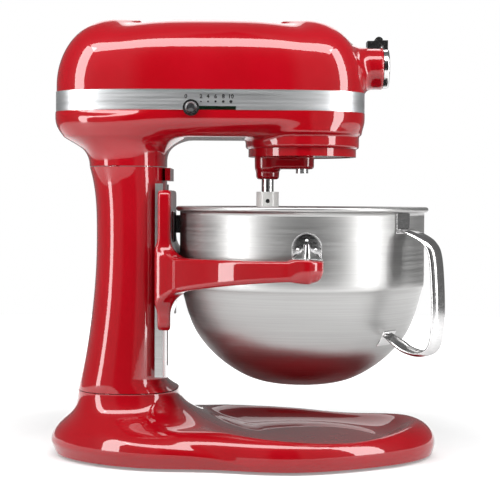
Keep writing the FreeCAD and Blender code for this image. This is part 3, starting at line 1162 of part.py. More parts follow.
def make_lever_grip():
    return turned("grip", [
        ("0", "0"), ("5", "0"), ("6.5", "3"), ("10", "16"), ("9.5", "22"), ("6", "27"), ("0", "28.5")],
        ("dim.lever_axis_x", "dim.lift_lever_y + 4", "dim.lever_axis_z + dim.lift_lever_length - 8"))


# ---------------------------------------------------------------------------------------------
# The whole mixer
# ---------------------------------------------------------------------------------------------
def build():
    node("base", make_base())
    node("rubber_feet", make_feet())
    screws = make_base_screws()
    node("column", make_column(screws))
    node("lift_rails", group("rail_pair", *[
        primitive("Box", name, ("dim.rail_x - dim.rail_width / 2", corner_y, "dim.rail_bottom"),
                  Length="dim.rail_width", Width="dim.rail_thickness", Height="dim.rail_top - dim.rail_bottom")
        for name, corner_y in (("rail_left", "dim.rail_inner"),
                               ("rail_right", "-dim.rail_inner - dim.rail_thickness"))]))
    node("assembly_screws", feature("screw_set", Part.makeCompound(screws + make_head_screws())))
    node("column_front_cover", box("front_cover", "5", "58", "12",
                                   ("-dim.column_front + 2.5", "0", "dim.column_top - 13")))
    node("head_lower_housing", make_lower_housing())
    node("trim_band", make_trim_band())
    node("head_top_cover", make_top_cover())
    node("speed_scale", make_speed_scale())
    node("rear_vent_grille", make_vent_grille())
    node("cord_gland", tube("gland", "3.6", "7", "9", ("-dim.column_rear - 12", "0", "dim.column_foot + 22"),
                            ALONG_X))
    make_motor()
    make_gear_case()
    make_shafts()
    make_planetary()
    make_agitator()
    make_hub()
    make_speed_lever()
    node("bowl", make_bowl())
    node("bowl_handle", make_bowl_handle())
    node("bowl_brackets", make_bowl_brackets())
    node("bowl_rear_clip", make_bowl_clip())
    node("bowl_yoke", make_yoke())
    node("locating_pins", make_locating_pins())
    node("bowl_latch_spring", make_latch_spring())
    make_lift()
    node("lift_lever_grip", make_lever_grip())


def check_and_write():
    """Recompute, refuse anything failed or invalid, and write one STEP file for each sub-part."""
    doc.recompute()
    for item in doc.Objects:
        if {"Invalid", "Error"} & set(item.State):
            raise RuntimeError(f"{item.Label} failed: {item.State}")
    for piece in NODES:
        if piece.Shape.isNull() or not piece.Shape.isValid():
            raise RuntimeError(f"{piece.Label} has no valid shape")
    for piece in NODES:
        piece.Shape.exportStep(f"parts/{piece.Label}.step")
    print(len(NODES), "sub-parts written")


build()
check_and_write()
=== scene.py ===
"""Looks of the bowl-lift stand mixer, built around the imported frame. Lengths in the shape functions are in
millimetres, as in the frame's design; they become metres when a mesh is made."""
import json
import math

import bmesh
import bpy
import numpy as np
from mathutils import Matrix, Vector


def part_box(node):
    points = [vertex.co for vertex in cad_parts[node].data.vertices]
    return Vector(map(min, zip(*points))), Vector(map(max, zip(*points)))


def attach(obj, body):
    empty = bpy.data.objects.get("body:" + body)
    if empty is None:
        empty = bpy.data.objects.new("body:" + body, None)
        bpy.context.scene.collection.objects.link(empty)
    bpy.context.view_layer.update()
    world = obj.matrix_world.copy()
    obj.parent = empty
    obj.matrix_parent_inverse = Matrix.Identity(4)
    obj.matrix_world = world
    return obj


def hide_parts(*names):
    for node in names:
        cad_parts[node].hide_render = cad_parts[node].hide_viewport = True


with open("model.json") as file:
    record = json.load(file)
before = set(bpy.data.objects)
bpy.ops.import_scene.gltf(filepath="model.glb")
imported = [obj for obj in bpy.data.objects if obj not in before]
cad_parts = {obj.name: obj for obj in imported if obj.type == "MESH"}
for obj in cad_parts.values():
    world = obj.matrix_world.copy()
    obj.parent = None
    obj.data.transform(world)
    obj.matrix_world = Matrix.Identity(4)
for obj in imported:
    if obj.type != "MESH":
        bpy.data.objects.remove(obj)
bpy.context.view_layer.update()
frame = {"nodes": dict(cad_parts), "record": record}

MM = 0.001


def box_mm(node):
    """Lowest and highest corner of a CAD node, in millimetres."""
    low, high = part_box(node)
    return [v / MM for v in low], [v / MM for v in high]


# ------------------------------------------------------------------ sizes read from the frame
(BASE_REAR, _, BASE_BOTTOM), (BASE_FRONT, _, COLLAR) = box_mm("base")
(_, _, _), (_, _, COLUMN_TOP) = box_mm("column")
(BAND_REAR, _, BAND_BOTTOM), (BAND_FRONT, BAND_SIDE, BAND_TOP) = box_mm("trim_band")
(_, HEAD_RIGHT, _), (NOSE_FRONT, HEAD_SIDE, HEAD_TOP) = box_mm("head_top_cover")
(_, _, DRIP_BOTTOM), (_, _, BOSS_BOTTOM) = box_mm("drip_ring")
BAND_PROUD = BAND_SIDE - HEAD_SIDE
HEAD_REAR, HEAD_FRONT = BAND_REAR + BAND_PROUD, BAND_FRONT - BAND_PROUD
BOWL_LOW, BOWL_HIGH = box_mm("bowl")
AXIS = (BOWL_LOW[0] + BOWL_HIGH[0]) / 2         # X of the bowl's, the planetary's and the dish's axis
BEAD_RADIUS = (BOWL_HIGH[0] - BOWL_LOW[0]) / 2
BOWL_RIM = BOWL_HIGH[2]
BEAD_OVERHANG = 3.8                             # how far the bead stands out past the bowl's side
BOWL_RADIUS = BEAD_RADIUS - BEAD_OVERHANG
YOKE_LOW, YOKE_HIGH = box_mm("bowl_yoke")
PIN_LOW, PIN_HIGH = box_mm("locating_pins")
PIN_RADIUS = (PIN_HIGH[0] - PIN_LOW[0]) / 2
PIN_OFFSET = PIN_HIGH[1] - PIN_RADIUS
SLEEVE_LOW, SLEEVE_HIGH = box_mm("hub_sleeve")
HUB_AXIS = (SLEEVE_LOW[2] + SLEEVE_HIGH[2]) / 2
NOSE_RADIUS = (SLEEVE_HIGH[2] - SLEEVE_LOW[2]) / 2 + 3.1

# ------------------------------------------------------------------ sizes of the castings
BASE_HALF_WIDTH, BELT, CREST, CROWN_INSET = 112, 14, 35, 24
WAIST_DEPTH, WAIST_PLACE, BULGE, BULGE_PLACE, SPREAD = 0.09, -35, 0.045, 58, 46
DISH_FLOOR, DISH_RADIUS = 18.5, 74
COLUMN_WAIST, COLUMN_REAR, COLUMN_FRONT, COLUMN_HALF = 211, -142.9, -76, 48
BOSS_RADIUS, HEAD_BOTTOM, SHOULDER, END_ROUNDING, CROWN_POWER = 56, 306, 355, 55, 2.6
SEAM = 0.35                                     # half the dark gap between two castings


# ------------------------------------------------------------------ implicit shapes: negative inside
def smooth_min(a, b, blend):
    """Union of two shapes with a fillet about as wide as the blend."""
    near = np.maximum(blend - np.abs(a - b), 0) / blend
    return np.minimum(a, b) - near * near * blend / 4


def smooth_max(a, b, blend):
    return -smooth_min(-a, -b, blend)


def oval(x, y, rear, front, half_width, power):
    """Distance to a level superellipse between two X places."""
    middle, reach = (rear + front) / 2, (front - rear) / 2
    s, a = np.abs(x - middle) / reach + 1e-6, np.abs(y) / half_width + 1e-6
    norm = (s ** power + a ** power) ** (1 / power)
    slope = np.hypot(s ** (power - 1) / reach, a ** (power - 1) / half_width) / norm ** (power - 1)
    return (norm - 1) / slope


def base_field(x, y, z):
    width = 1 - WAIST_DEPTH * np.exp(-((x - WAIST_PLACE) / SPREAD) ** 2)
    width = width + BULGE * np.exp(-((x - BULGE_PLACE) / SPREAD) ** 2)
    side = oval(x, y / width, BASE_REAR, BASE_FRONT, BASE_HALF_WIDTH, 2.0)
    rise = np.maximum(z - BELT, 0) / (CREST - BELT)
    fall = np.maximum(BELT - z, 0) / (BELT - BASE_BOTTOM)
    inward_top = np.maximum(side / CROWN_INSET + 1, 0)
    crown = (np.hypot(inward_top, rise) - 1) * (CREST - BELT)
    skirt = side + 2.5 * fall ** 2
    pebble = np.where(z > BELT, np.maximum(crown, z - CREST), skirt)
    r = np.hypot(x - AXIS, y)
    out = np.maximum(r - DISH_RADIUS, 0)
    floor = DISH_FLOOR + 0.0165 * out ** 2
    dish = (z - floor) / np.sqrt(1 + (0.033 * out) ** 2)
    pebble = smooth_max(pebble, dish, 7)
    spread = ((COLLAR - z) / (COLLAR - 24)) ** 2
    neck = oval(x, y, -160.7 - 15.8 * spread, -64 + 54 * spread, 53 + 36 * spread, 2.5)
    neck = smooth_max(neck, z - COLLAR - 20, 2)
    neck = smooth_max(neck, np.maximum(side + 5, 20 - z), 8)
    return smooth_min(pebble, neck, 16)


def column_field(x, y, z):
    low = np.maximum(COLUMN_WAIST - z, 0) / (COLUMN_WAIST - COLLAR)
    high = np.maximum(z - COLUMN_WAIST, 0) / (COLUMN_TOP - COLUMN_WAIST)
    rear = COLUMN_REAR - 17.8 * low ** 2 - 6.8 * high ** 3
    half = COLUMN_HALF + 5 * low ** 2 + 3 * high ** 3
    sweep = np.maximum(0, 1 - (z - COLLAR) / 12)
    return oval(x, y, rear, COLUMN_FRONT + 12 * sweep ** 2, half, 2.5)


def head_field(x, y, z):
    """The head without its nose: full at the band, crowned above the shoulder, rounded at the bottom edge."""
    middle, reach = (HEAD_REAR + HEAD_FRONT) / 2, (HEAD_FRONT - HEAD_REAR) / 2
    s, a = np.abs(x - middle) / reach + 1e-6, np.abs(y) / HEAD_SIDE + 1e-6
    power = 3.2
    norm = (s ** power + a ** power) ** (1 / power)
    slope = np.hypot(s ** (power - 1) / reach, a ** (power - 1) / HEAD_SIDE) / norm ** (power - 1)
    plan = (norm - 1) / slope
    far = np.maximum(s - 0.45, 0) / 0.55
    side_share = a ** power / (a ** power + far ** power + 1e-9)
    end = np.maximum(0, (reach * norm - (reach - END_ROUNDING)) / END_ROUNDING)
    level = (1 - side_share) * end + side_share * norm
    rise = np.maximum(z - SHOULDER, 0) / (HEAD_TOP - SHOULDER)
    crown_power = 2 * (1 - side_share) + CROWN_POWER * side_share
    crown = ((level ** crown_power + rise ** crown_power) ** (1 / crown_power) - 1) * END_ROUNDING
    drop = np.maximum(0, 1 - (z - HEAD_BOTTOM) / 20)
    lower = smooth_max(plan + 14 * drop ** 2.5, HEAD_BOTTOM - z, 5)
    return np.where(z > SHOULDER, crown, lower)


def neck_field(x, y, z):
    """From the top of the column up into the head."""
    rise = np.clip((z - COLUMN_TOP) / (HEAD_BOTTOM - COLUMN_TOP), 0, 1)
    neck = oval(x, y, COLUMN_REAR - 6.8 - 20 * rise ** 2.3, COLUMN_FRONT + 10 * rise ** 4,
                COLUMN_HALF + 3 + 6 * rise ** 2, 2.5)
    return smooth_max(neck, z - HEAD_BOTTOM - 12, 4)


def boss_field(x, y, z):
    """The round boss over the planetary, in two shallow steps."""
    r = np.hypot(x - AXIS, y)
    upper = smooth_max(r - BOSS_RADIUS - 1.4, (BOSS_BOTTOM + 13) - z, 2.5)
    lower = smooth_max(r - BOSS_RADIUS + 1.2, BOSS_BOTTOM - z, 3)
    return np.maximum(smooth_min(upper, lower, 1.5), z - SHOULDER + 15)


def nose_field(x, y, z):
    r = np.hypot(y, z - HUB_AXIS)
    return np.maximum(r - NOSE_RADIUS, np.maximum(x - NOSE_FRONT, HEAD_FRONT - 50 - x))


def head_casting_field(x, y, z):
    shape = smooth_min(head_field(x, y, z), neck_field(x, y, z), 22)
    shape = smooth_min(shape, boss_field(x, y, z), 5)
    return smooth_min(shape, nose_field(x, y, z), 9)


PIN_BOSS_TOP = PIN_LOW[2] + 12
PIN_BOSS_BOTTOM = PIN_BOSS_TOP - 20
YOKE_WEB_FRONT = COLUMN_FRONT + 6.6
ARM_RADIUS = PIN_OFFSET + 5
COLUMN_CLEARANCE_FRONT, COLUMN_CLEARANCE_SIDE = COLUMN_FRONT + 0.5, 41.8
BOWL_CLEARANCE = BEAD_RADIUS + 2.2
YOKE_CARRIAGE = 12.0                            # thickness of the carriage plate with its cheeks
ARM_ROOT_DROP, ARM_SWEEP = 20, 70               # the arm deepens by this much over these degrees


def yoke_field(x, y, z):
    """Carriage plate behind the bowl, two arms round it, and a round boss under each pin."""
    y = np.abs(y)
    half_height = (YOKE_HIGH[2] - YOKE_LOW[2]) / 2
    middle = (YOKE_HIGH[2] + YOKE_LOW[2]) / 2
    side = np.hypot(np.maximum(y - 46, 0), np.maximum(np.abs(z - middle) - half_height + 7, 0)) - 7
    web = smooth_max(side, np.abs(x - (YOKE_WEB_FRONT - YOKE_CARRIAGE / 2)) - YOKE_CARRIAGE / 2, 3)
    r = np.hypot(x - AXIS, y)
    angle = np.degrees(np.arctan2(y, x - AXIS))
    share = np.clip((angle - 90) / ARM_SWEEP, 0, 1)
    bottom = PIN_BOSS_BOTTOM + 2 - ARM_ROOT_DROP * share ** 1.6
    top = PIN_BOSS_TOP - 0.4
    mid, depth = (top + bottom) / 2, (top - bottom) / 2
    across = np.abs(r - ARM_RADIUS) - 6.4
    up = np.abs(z - mid) - depth
    arm = smooth_max(across, up, 4)
    arm = np.maximum(arm, np.maximum(AXIS - x - 150, x - AXIS))
    boss_r = np.hypot(x - AXIS, y - PIN_OFFSET)
    boss = smooth_max(boss_r - 14.4, PIN_BOSS_BOTTOM - z, 13)
    boss = smooth_max(boss, z - PIN_BOSS_TOP, 1.5)
    shape = smooth_min(smooth_min(arm, boss, 6), web, 20)
    rail_side = np.maximum(COLUMN_CLEARANCE_FRONT - 100 - x, x - COLUMN_CLEARANCE_FRONT)
    room = np.maximum(y - COLUMN_CLEARANCE_SIDE, rail_side)
    bowl_room = BOWL_CLEARANCE - r
    bowl_room = np.where(z < PIN_BOSS_BOTTOM - 22, -99, bowl_room)
    return smooth_max(np.maximum(shape, -room), bowl_room, 1.5)


# ------------------------------------------------------------------ meshes from implicit shapes
def gradient(field, points, step=0.05):
    slopes = []
    for axis in range(3):
        shift = np.zeros(3)
        shift[axis] = step
        slopes.append(field(*(points + shift).T) - field(*(points - shift).T))
    return np.stack(slopes, axis=1) / (2 * step)


def settle(field, points, rounds):
    """Move points along the gradient onto the surface."""
    for _ in range(rounds):
        slope = gradient(field, points)
        length = np.maximum((slope ** 2).sum(axis=1, keepdims=True), 1e-4)
        move = -field(*points.T)[:, None] * slope / length
        points = points + np.clip(move, -2.0, 2.0)
    return points


def surface(field, low, high, cell):
    """Points and quads of the field's surface: a point in each grid cell that it crosses, evened out."""
    axes = [np.arange(a, b + cell, cell) for a, b in zip(low, high)]
    inside = field(*np.meshgrid(*axes, indexing="ij")) < 0
    cells_x, cells_y, cells_z = (length - 1 for length in inside.shape)
    count = sum(inside[i:cells_x + i, j:cells_y + j, k:cells_z + k].astype(int)
                for i in (0, 1) for j in (0, 1) for k in (0, 1))
    active = (count > 0) & (count < 8)
    number = np.full(active.shape, -1)
    number[active] = np.arange(active.sum())
    points = np.array([axis[0] for axis in axes]) + (np.argwhere(active) + 0.5) * cell
    quads = []
    for axis in range(3):
        u, v = [(1, 2), (2, 0), (0, 1)][axis]
        first = np.take(inside, range(inside.shape[axis] - 1), axis)
        second = np.take(inside, range(1, inside.shape[axis]), axis)
        for crossing, flip in ((first & ~second, False), (~first & second, True)):
            at = np.argwhere(crossing)
            at = at[(at[:, u] > 0) & (at[:, v] > 0)]
            at = at[(at[:, u] < active.shape[u]) & (at[:, v] < active.shape[v])]
            ring = []
            for du, dv in ((-1, -1), (0, -1), (0, 0), (-1, 0)):
                cell_at = at.copy()
                cell_at[:, u] += du
                cell_at[:, v] += dv
                ring.append(number[tuple(cell_at.T)])
            ring = np.stack(ring, axis=1)
            quads.append(ring[:, ::-1] if flip else ring)
    quads = np.concatenate(quads)
    quads = quads[(quads >= 0).all(axis=1)]
    points = settle(field, points, 4)
    edges = np.concatenate([quads[:, [i, (i + 1) % 4]] for i in range(4)])
    for _ in range(3):
        total, seen = np.zeros_like(points), np.zeros(len(points))
        np.add.at(total, edges[:, 0], points[edges[:, 1]])
        np.add.at(total, edges[:, 1], points[edges[:, 0]])
        np.add.at(seen, edges[:, 0], 1)
        np.add.at(seen, edges[:, 1], 1)
        points = settle(field, 0.4 * points + 0.6 * total / np.maximum(seen, 1)[:, None], 2)
    return points, quads


def new_object(name, points, faces, body, slot):
    """A smooth-shaded mesh piece from points in millimetres."""
    mesh = bpy.data.meshes.new(name)
    mesh.from_pydata([tuple(p) for p in np.asarray(points) * MM], [], [tuple(map(int, f)) for f in faces])
    mesh.update()
    mesh.shade_smooth()
    piece = bpy.data.objects.new(name, mesh)
    bpy.context.scene.collection.objects.link(piece)
    piece.data.materials.append(MATERIALS[slot])
    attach(piece, body)
    return piece


def slice_off(piece, place, normal):
    """Cut the piece at a plane, drop what lies beyond it along the normal, and close the cut."""
    mesh = bmesh.new()
    mesh.from_mesh(piece.data)
    result = bmesh.ops.bisect_plane(mesh, geom=mesh.verts[:] + mesh.edges[:] + mesh.faces[:], dist=1e-6,
                                    plane_co=Vector(place) * MM, plane_no=Vector(normal), clear_outer=True)
    rim = [item for item in result["geom_cut"] if isinstance(item, bmesh.types.BMEdge)]
    filled = bmesh.ops.holes_fill(mesh, edges=rim, sides=0)
    for edge in rim:
        if edge.is_valid:
            edge.smooth = False
    for face in filled["faces"]:
        face.smooth = False
    mesh.to_mesh(piece.data)
    mesh.free()


def casting(name, node, body, field, low, high, cell, cuts):
    points, quads = surface(field, low, high, cell)
    piece = new_object(name, points, quads, body, "red_enamel")
    for place, normal in cuts:
        slice_off(piece, place, normal)
    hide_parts(node)
    return piece


# ------------------------------------------------------------------ materials
class Finish:
    """One procedural material: a Principled shader whose colour, roughness and bump vary by texture nodes."""

    def __init__(self, name, metallic=0.0, coat=0.0):
        self.material = bpy.data.materials.new(name)
        self.material.use_nodes = True
        self.nodes, self.links = self.material.node_tree.nodes, self.material.node_tree.links
        self.shader = self.nodes["Principled BSDF"]
        self.shader.inputs["Metallic"].default_value = metallic
        self.shader.inputs["Coat Weight"].default_value = coat
        self.shader.inputs["Coat Roughness"].default_value = 0.02
        self.place = self.nodes.new("ShaderNodeTexCoord").outputs["Object"]
        self.normal = None

    def noise(self, scale, detail=3, stretch=(1, 1, 1)):
        mapping = self.nodes.new("ShaderNodeMapping")
        mapping.inputs["Scale"].default_value = stretch
        self.links.new(self.place, mapping.inputs["Vector"])
        texture = self.nodes.new("ShaderNodeTexNoise")
        texture.inputs["Scale"].default_value = scale
        texture.inputs["Detail"].default_value = detail
        self.links.new(mapping.outputs["Vector"], texture.inputs["Vector"])
        return texture.outputs["Fac"]

    def colour(self, value, first, second):
        ramp = self.nodes.new("ShaderNodeValToRGB")
        ramp.color_ramp.elements[0].position, ramp.color_ramp.elements[1].position = 0.3, 0.7
        ramp.color_ramp.elements[0].color, ramp.color_ramp.elements[1].color = (*first, 1), (*second, 1)
        self.links.new(value, ramp.inputs["Fac"])
        self.links.new(ramp.outputs["Color"], self.shader.inputs["Base Color"])
        return self

    def roughness(self, value, low, high):
        spread = self.nodes.new("ShaderNodeMapRange")
        spread.inputs["From Min"].default_value, spread.inputs["From Max"].default_value = 0.3, 0.7
        spread.inputs["To Min"].default_value, spread.inputs["To Max"].default_value = low, high
        self.links.new(value, spread.inputs["Value"])
        self.links.new(spread.outputs["Result"], self.shader.inputs["Roughness"])
        return self

    def bump(self, value, depth, strength=1.0, coat=False):
        bump = self.nodes.new("ShaderNodeBump")
        bump.inputs["Strength"].default_value = strength
        bump.inputs["Distance"].default_value = depth * MM
        self.links.new(value, bump.inputs["Height"])
        if self.normal:
            self.links.new(self.normal, bump.inputs["Normal"])
        self.normal = bump.outputs["Normal"]
        self.links.new(self.normal, self.shader.inputs["Normal"])
        if coat:
            self.links.new(self.normal, self.shader.inputs["Coat Normal"])
        return self


def red_enamel():
    """Gloss enamel over cast metal: a faint orange peel under a clear coat."""
    paint = Finish("red_enamel", coat=1.0)
    peel = paint.noise(260, 2)
    paint.shader.inputs["Specular IOR Level"].default_value = 0.05
    paint.colour(paint.noise(14), (0.215, 0.0005, 0.003), (0.245, 0.0008, 0.005))
    return paint.roughness(paint.noise(60), 0.3, 0.4).bump(peel, 0.012, coat=True)


def brushed(name, dark, light, stretch, low, high, scale=700):
    """Steel with fine parallel scratches along the axes whose stretch is small."""
    steel = Finish(name, metallic=1.0)
    scratches = steel.noise(scale, 4, stretch)
    steel.colour(scratches, dark, light)
    return steel.roughness(steel.noise(scale * 0.6, 3, stretch), low, high).bump(scratches, 0.006)


def bowl_steel():
    """Spun steel, brushed round the bowl: fine level scratches, and highlights drawn out up and down."""
    steel = Finish("brushed_steel", metallic=1.0)
    steel.shader.inputs["Anisotropic"].default_value = 0.75
    tangent = steel.nodes.new("ShaderNodeTangent")
    tangent.direction_type, tangent.axis = "RADIAL", "Z"
    steel.links.new(tangent.outputs["Tangent"], steel.shader.inputs["Tangent"])
    scratches = steel.noise(1400, 3, (0.006, 0.006, 1))
    steel.colour(scratches, (0.33, 0.328, 0.325), (0.39, 0.387, 0.383))
    return steel.roughness(steel.noise(500, 2, (0.01, 0.01, 1)), 0.30, 0.38).bump(scratches, 0.0015)


def cast_metal(name, dark, light, low, high, grain=900, depth=0.03, metallic=1.0):
    metal = Finish(name, metallic=metallic)
    grit = metal.noise(grain, 4)
    return metal.colour(metal.noise(90, 4), dark, light).roughness(grit, low, high).bump(grit, depth)


def plastic(name, dark, light, low, high, grain=1200, depth=0.01, coat=0.0):
    shell = Finish(name, coat=coat)
    grit = shell.noise(grain, 3)
    return shell.colour(shell.noise(120, 3), dark, light).roughness(grit, low, high).bump(grit, depth)


def copper_windings():
    """Enamelled wire, wound in fine parallel turns."""
    wire = Finish("copper", metallic=1.0)
    turns = wire.noise(420, 2, (1, 1, 6))
    wire.colour(turns, (0.42, 0.13, 0.05), (0.80, 0.38, 0.20))
    return wire.roughness(turns, 0.25, 0.4).bump(turns, 0.2)


MATERIALS = {name: finish.material for name, finish in {
    "red_enamel": red_enamel(),
    "rubber": plastic("rubber", (0.012, 0.012, 0.012), (0.022, 0.022, 0.022), 0.55, 0.75, depth=0.05),
    "silver_band": brushed("silver_band",
                           (0.66, 0.67, 0.68), (0.72, 0.73, 0.74), (0.03, 0.03, 1), 0.3, 0.38),
    "black_plastic": plastic("black_plastic",
                             (0.006, 0.006, 0.006), (0.012, 0.012, 0.013), 0.16, 0.28, coat=0.4),
    "polished_steel": brushed("polished_steel",
                              (0.50, 0.50, 0.50), (0.58, 0.57, 0.57), (0.2, 0.2, 1), 0.12, 0.2),
    "brushed_steel": bowl_steel(),
    "machined_steel": brushed("machined_steel",
                              (0.50, 0.50, 0.50), (0.64, 0.64, 0.64), (0.1, 0.1, 1), 0.22, 0.34),
    "cast_aluminium": cast_metal("cast_aluminium", (0.50, 0.51, 0.52), (0.62, 0.63, 0.64), 0.35, 0.5),
    "copper": copper_windings(),
    "bearing_bronze": cast_metal("bearing_bronze",
                                 (0.48, 0.32, 0.14), (0.62, 0.44, 0.22), 0.3, 0.42, depth=0.01),
    "circuit_board": plastic("circuit_board", (0.01, 0.10, 0.04), (0.02, 0.16, 0.06), 0.3, 0.45),
    "white_coating": plastic("white_coating", (0.72, 0.72, 0.70), (0.80, 0.80, 0.78), 0.25, 0.38, coat=0.5),
}.items()}


def dress_nodes():
    """Every CAD node takes the procedural material of its slot."""
    for part in frame["record"]["subparts"]:
        mesh = frame["nodes"][part["node"]].data
        mesh.materials.clear()
        mesh.materials.append(MATERIALS[part["material_slot"]])


# ------------------------------------------------------------------ castings
def make_castings():
    margin = 6
    seam_low, seam_high = (0, 0, COLLAR - SEAM), (0, 0, COLLAR + SEAM)
    up, down = (0, 0, 1), (0, 0, -1)
    width = BASE_HALF_WIDTH + 12
    casting("base_casting", "base", "stand", base_field, (BASE_REAR - margin, -width, BASE_BOTTOM - margin),
            (BASE_FRONT + margin, width, COLLAR + margin), 2.2, [(seam_low, up), ((0, 0, BASE_BOTTOM), down)])
    casting("column_casting", "column", "stand", column_field, (BASE_REAR, -62, COLLAR - margin),
            (COLUMN_FRONT + 20, 62, COLUMN_TOP + margin), 2.4,
            [(seam_high, down), ((0, 0, COLUMN_TOP - SEAM), up)])
    low, high = (HEAD_REAR - margin, HEAD_RIGHT - margin), (NOSE_FRONT + margin, HEAD_SIDE + margin)
    casting("lower_housing_casting", "head_lower_housing", "stand", head_casting_field,
            (*low, COLUMN_TOP - margin), (*high, BAND_BOTTOM + margin), 2.0,
            [((0, 0, COLUMN_TOP + SEAM), down), ((0, 0, BAND_BOTTOM), up)])
    casting("top_cover_casting", "head_top_cover", "stand", head_casting_field,
            (*low, BAND_TOP - margin), (*high, HEAD_TOP + margin), 2.0, [((0, 0, BAND_TOP), down),
            ((NOSE_FRONT, 0, 0), (1, 0, 0))])
    arm_side = PIN_OFFSET + 20
    casting("yoke_casting", "bowl_yoke", "yoke", yoke_field,
            (YOKE_LOW[0] - margin, -arm_side, YOKE_LOW[2] - margin),
            (AXIS + 20, arm_side, YOKE_HIGH[2] + margin), 1.6, [])
    arm = casting("planetary_arm", "planetary_housing", "planetary", planetary_field,
                  (AXIS - 50, -48, PLANET_LOW[2] - margin), (AXIS + 50, 48, PLANET_HIGH[2] + margin), 1.2, [])
    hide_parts("retaining_ring")


# ------------------------------------------------------------------ bowl
# Down the bowl's side: shares of its radius, and heights
BOWL_CURVE = ((1, 170), (0.982, 161), (0.919, 134.5), (0.842, 116), (0.707, 97.6), (0.545, 83.3),
              (0.381, 74.3), (0.186, 70), (0, 69))
BOWL_WALL = 1.2


def smooth_line(points, steps):
    """Points along a Catmull-Rom curve through the given points."""
    points = np.array(points, float)
    padded = np.vstack([2 * points[0] - points[1], points, 2 * points[-1] - points[-2]])
    line = []
    for i in range(1, len(padded) - 2):
        a, b, c, d = padded[i - 1:i + 3]
        for t in np.linspace(0, 1, steps, endpoint=False):
            line.append(0.5 * (2 * b + (c - a) * t + (2 * a - 5 * b + 4 * c - d) * t ** 2
                               + (3 * b - a - 3 * c + d) * t ** 3))
    return np.array(line + [padded[-2]])


def offset_line(line, distance):
    """The line moved to its left by a distance."""
    direction = np.gradient(line, axis=0)
    direction /= np.linalg.norm(direction, axis=1, keepdims=True)
    return line + distance * np.column_stack([-direction[:, 1], direction[:, 0]])


def lathe(name, profile, body, slot, turns):
    """Turn a closed (radius, height) outline round the bowl's axis; points on the axis become one point."""
    points, rows = [], []
    for r, z in profile:
        if r < 1e-3:
            rows.append([len(points)] * turns)
            points.append((AXIS, 0, z))
        else:
            rows.append(list(range(len(points), len(points) + turns)))
            points += [(AXIS + r * math.cos(a), r * math.sin(a), z)
                       for a in np.linspace(0, 2 * math.pi, turns, endpoint=False)]
    faces = []
    for first, second in zip(rows, rows[1:] + rows[:1]):
        for i in range(turns):
            j = (i + 1) % turns
            face = list(dict.fromkeys((first[i], first[j], second[j], second[i])))
            if len(face) > 2:
                faces.append(face)
    piece = new_object(name, points, faces, body, slot)
    mesh = bmesh.new()
    mesh.from_mesh(piece.data)
    bmesh.ops.recalc_face_normals(mesh, faces=mesh.faces)
    mesh.to_mesh(piece.data)
    mesh.free()
    return piece


def make_bowl():
    """Spun steel: a thin wall that runs up straight and curls out into a round bead."""
    wall, bead = BOWL_WALL, (BEAD_OVERHANG + BOWL_WALL) / 2
    side = [(BOWL_RADIUS, BOWL_RIM - 2 * bead), (BOWL_RADIUS, 205)]
    curve = [(share * BOWL_RADIUS, z) for share, z in BOWL_CURVE]
    outside = smooth_line(side + curve, 8)
    inside = offset_line(outside, -wall)[::-1]
    inside[0] = (0, inside[0][1])
    centre, height = BEAD_RADIUS - bead, BOWL_RIM - bead
    curl = [(centre + bead * math.cos(a), height + bead * math.sin(a))
            for a in np.radians(np.linspace(175, -95, 22))]
    inside[-1] = (BOWL_RADIUS - wall, height - 1)
    piece = lathe("bowl_shell", np.vstack([outside, inside, curl]), "bowl", "brushed_steel", turns=200)
    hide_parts("bowl")


def side_radius(z):
    """The bowl's outside radius at a height."""
    heights = [height for _, height in reversed(BOWL_CURVE)]
    return float(np.interp(z, heights, [share * BOWL_RADIUS for share, _ in reversed(BOWL_CURVE)]))


def shell_patch(inside, outside):
    """Points and faces of a closed sheet between two grids of points of one shape."""
    rows, columns = len(inside), len(inside[0])
    points = [p for row in inside for p in row] + [p for row in outside for p in row]
    half = rows * columns
    faces = []
    for i in range(rows - 1):
        for j in range(columns - 1):
            a = i * columns + j
            quad = (a, a + 1, a + columns + 1, a + columns)
            faces.append(quad[::-1])
            faces.append(tuple(half + v for v in quad))
    border = [i * columns for i in range(rows)] + [(rows - 1) * columns + j for j in range(1, columns)]
    border += [i * columns + columns - 1 for i in range(rows - 2, -1, -1)] + list(range(columns - 2, 0, -1))
    for a, b in zip(border, border[1:] + border[:1]):
        faces.append((a, b, half + b, half + a))
    return points, faces


def tidy_normals(piece, bevel=0.0):
    """Point the faces outwards, and round the hard edges if a bevel is given."""
    mesh = bmesh.new()
    mesh.from_mesh(piece.data)
    bmesh.ops.recalc_face_normals(mesh, faces=mesh.faces)
    mesh.to_mesh(piece.data)
    mesh.free()
    if bevel:
        modifier = piece.modifiers.new("rounding", "BEVEL")
        modifier.width, modifier.segments, modifier.limit_method = bevel * MM, 3, "ANGLE"
    return piece


def around_bowl(points, degrees):
    """Turn points made in the radial XZ plane round the bowl's axis."""
    c, s = math.cos(math.radians(degrees)), math.sin(math.radians(degrees))
    return [(AXIS + x * c - y * s, x * s + y * c, z) for x, y, z in points]


def plate_on_bowl(name, width, low, high, thickness, lift, degrees):
    """A plate bent to the bowl's side, standing off it by the lift."""
    def grid(offset):
        rows = []
        for z in np.linspace(low, high, 7):
            r = side_radius(z) + offset
            rows.append([(r * math.cos(a), r * math.sin(a), z)
                         for a in np.linspace(-width / 2 / r, width / 2 / r, 9)])
        return rows
    points, faces = shell_patch(grid(lift), grid(lift + thickness))
    piece = new_object(name, around_bowl(points, degrees), faces, "bowl", "polished_steel")
    return tidy_normals(piece, 0.4)


HANDLE_PATH = ((118.8, 221.5), (124, 221.5), (138, 217), (150, 210), (156.5, 198), (159.5, 170), (160, 142),
               (157.5, 120), (151, 110), (138, 106.5), (122, 109.5), (109, 117.5), (101.5, 124))
HANDLE_WIDTH, HANDLE_ANGLE = 20, -41


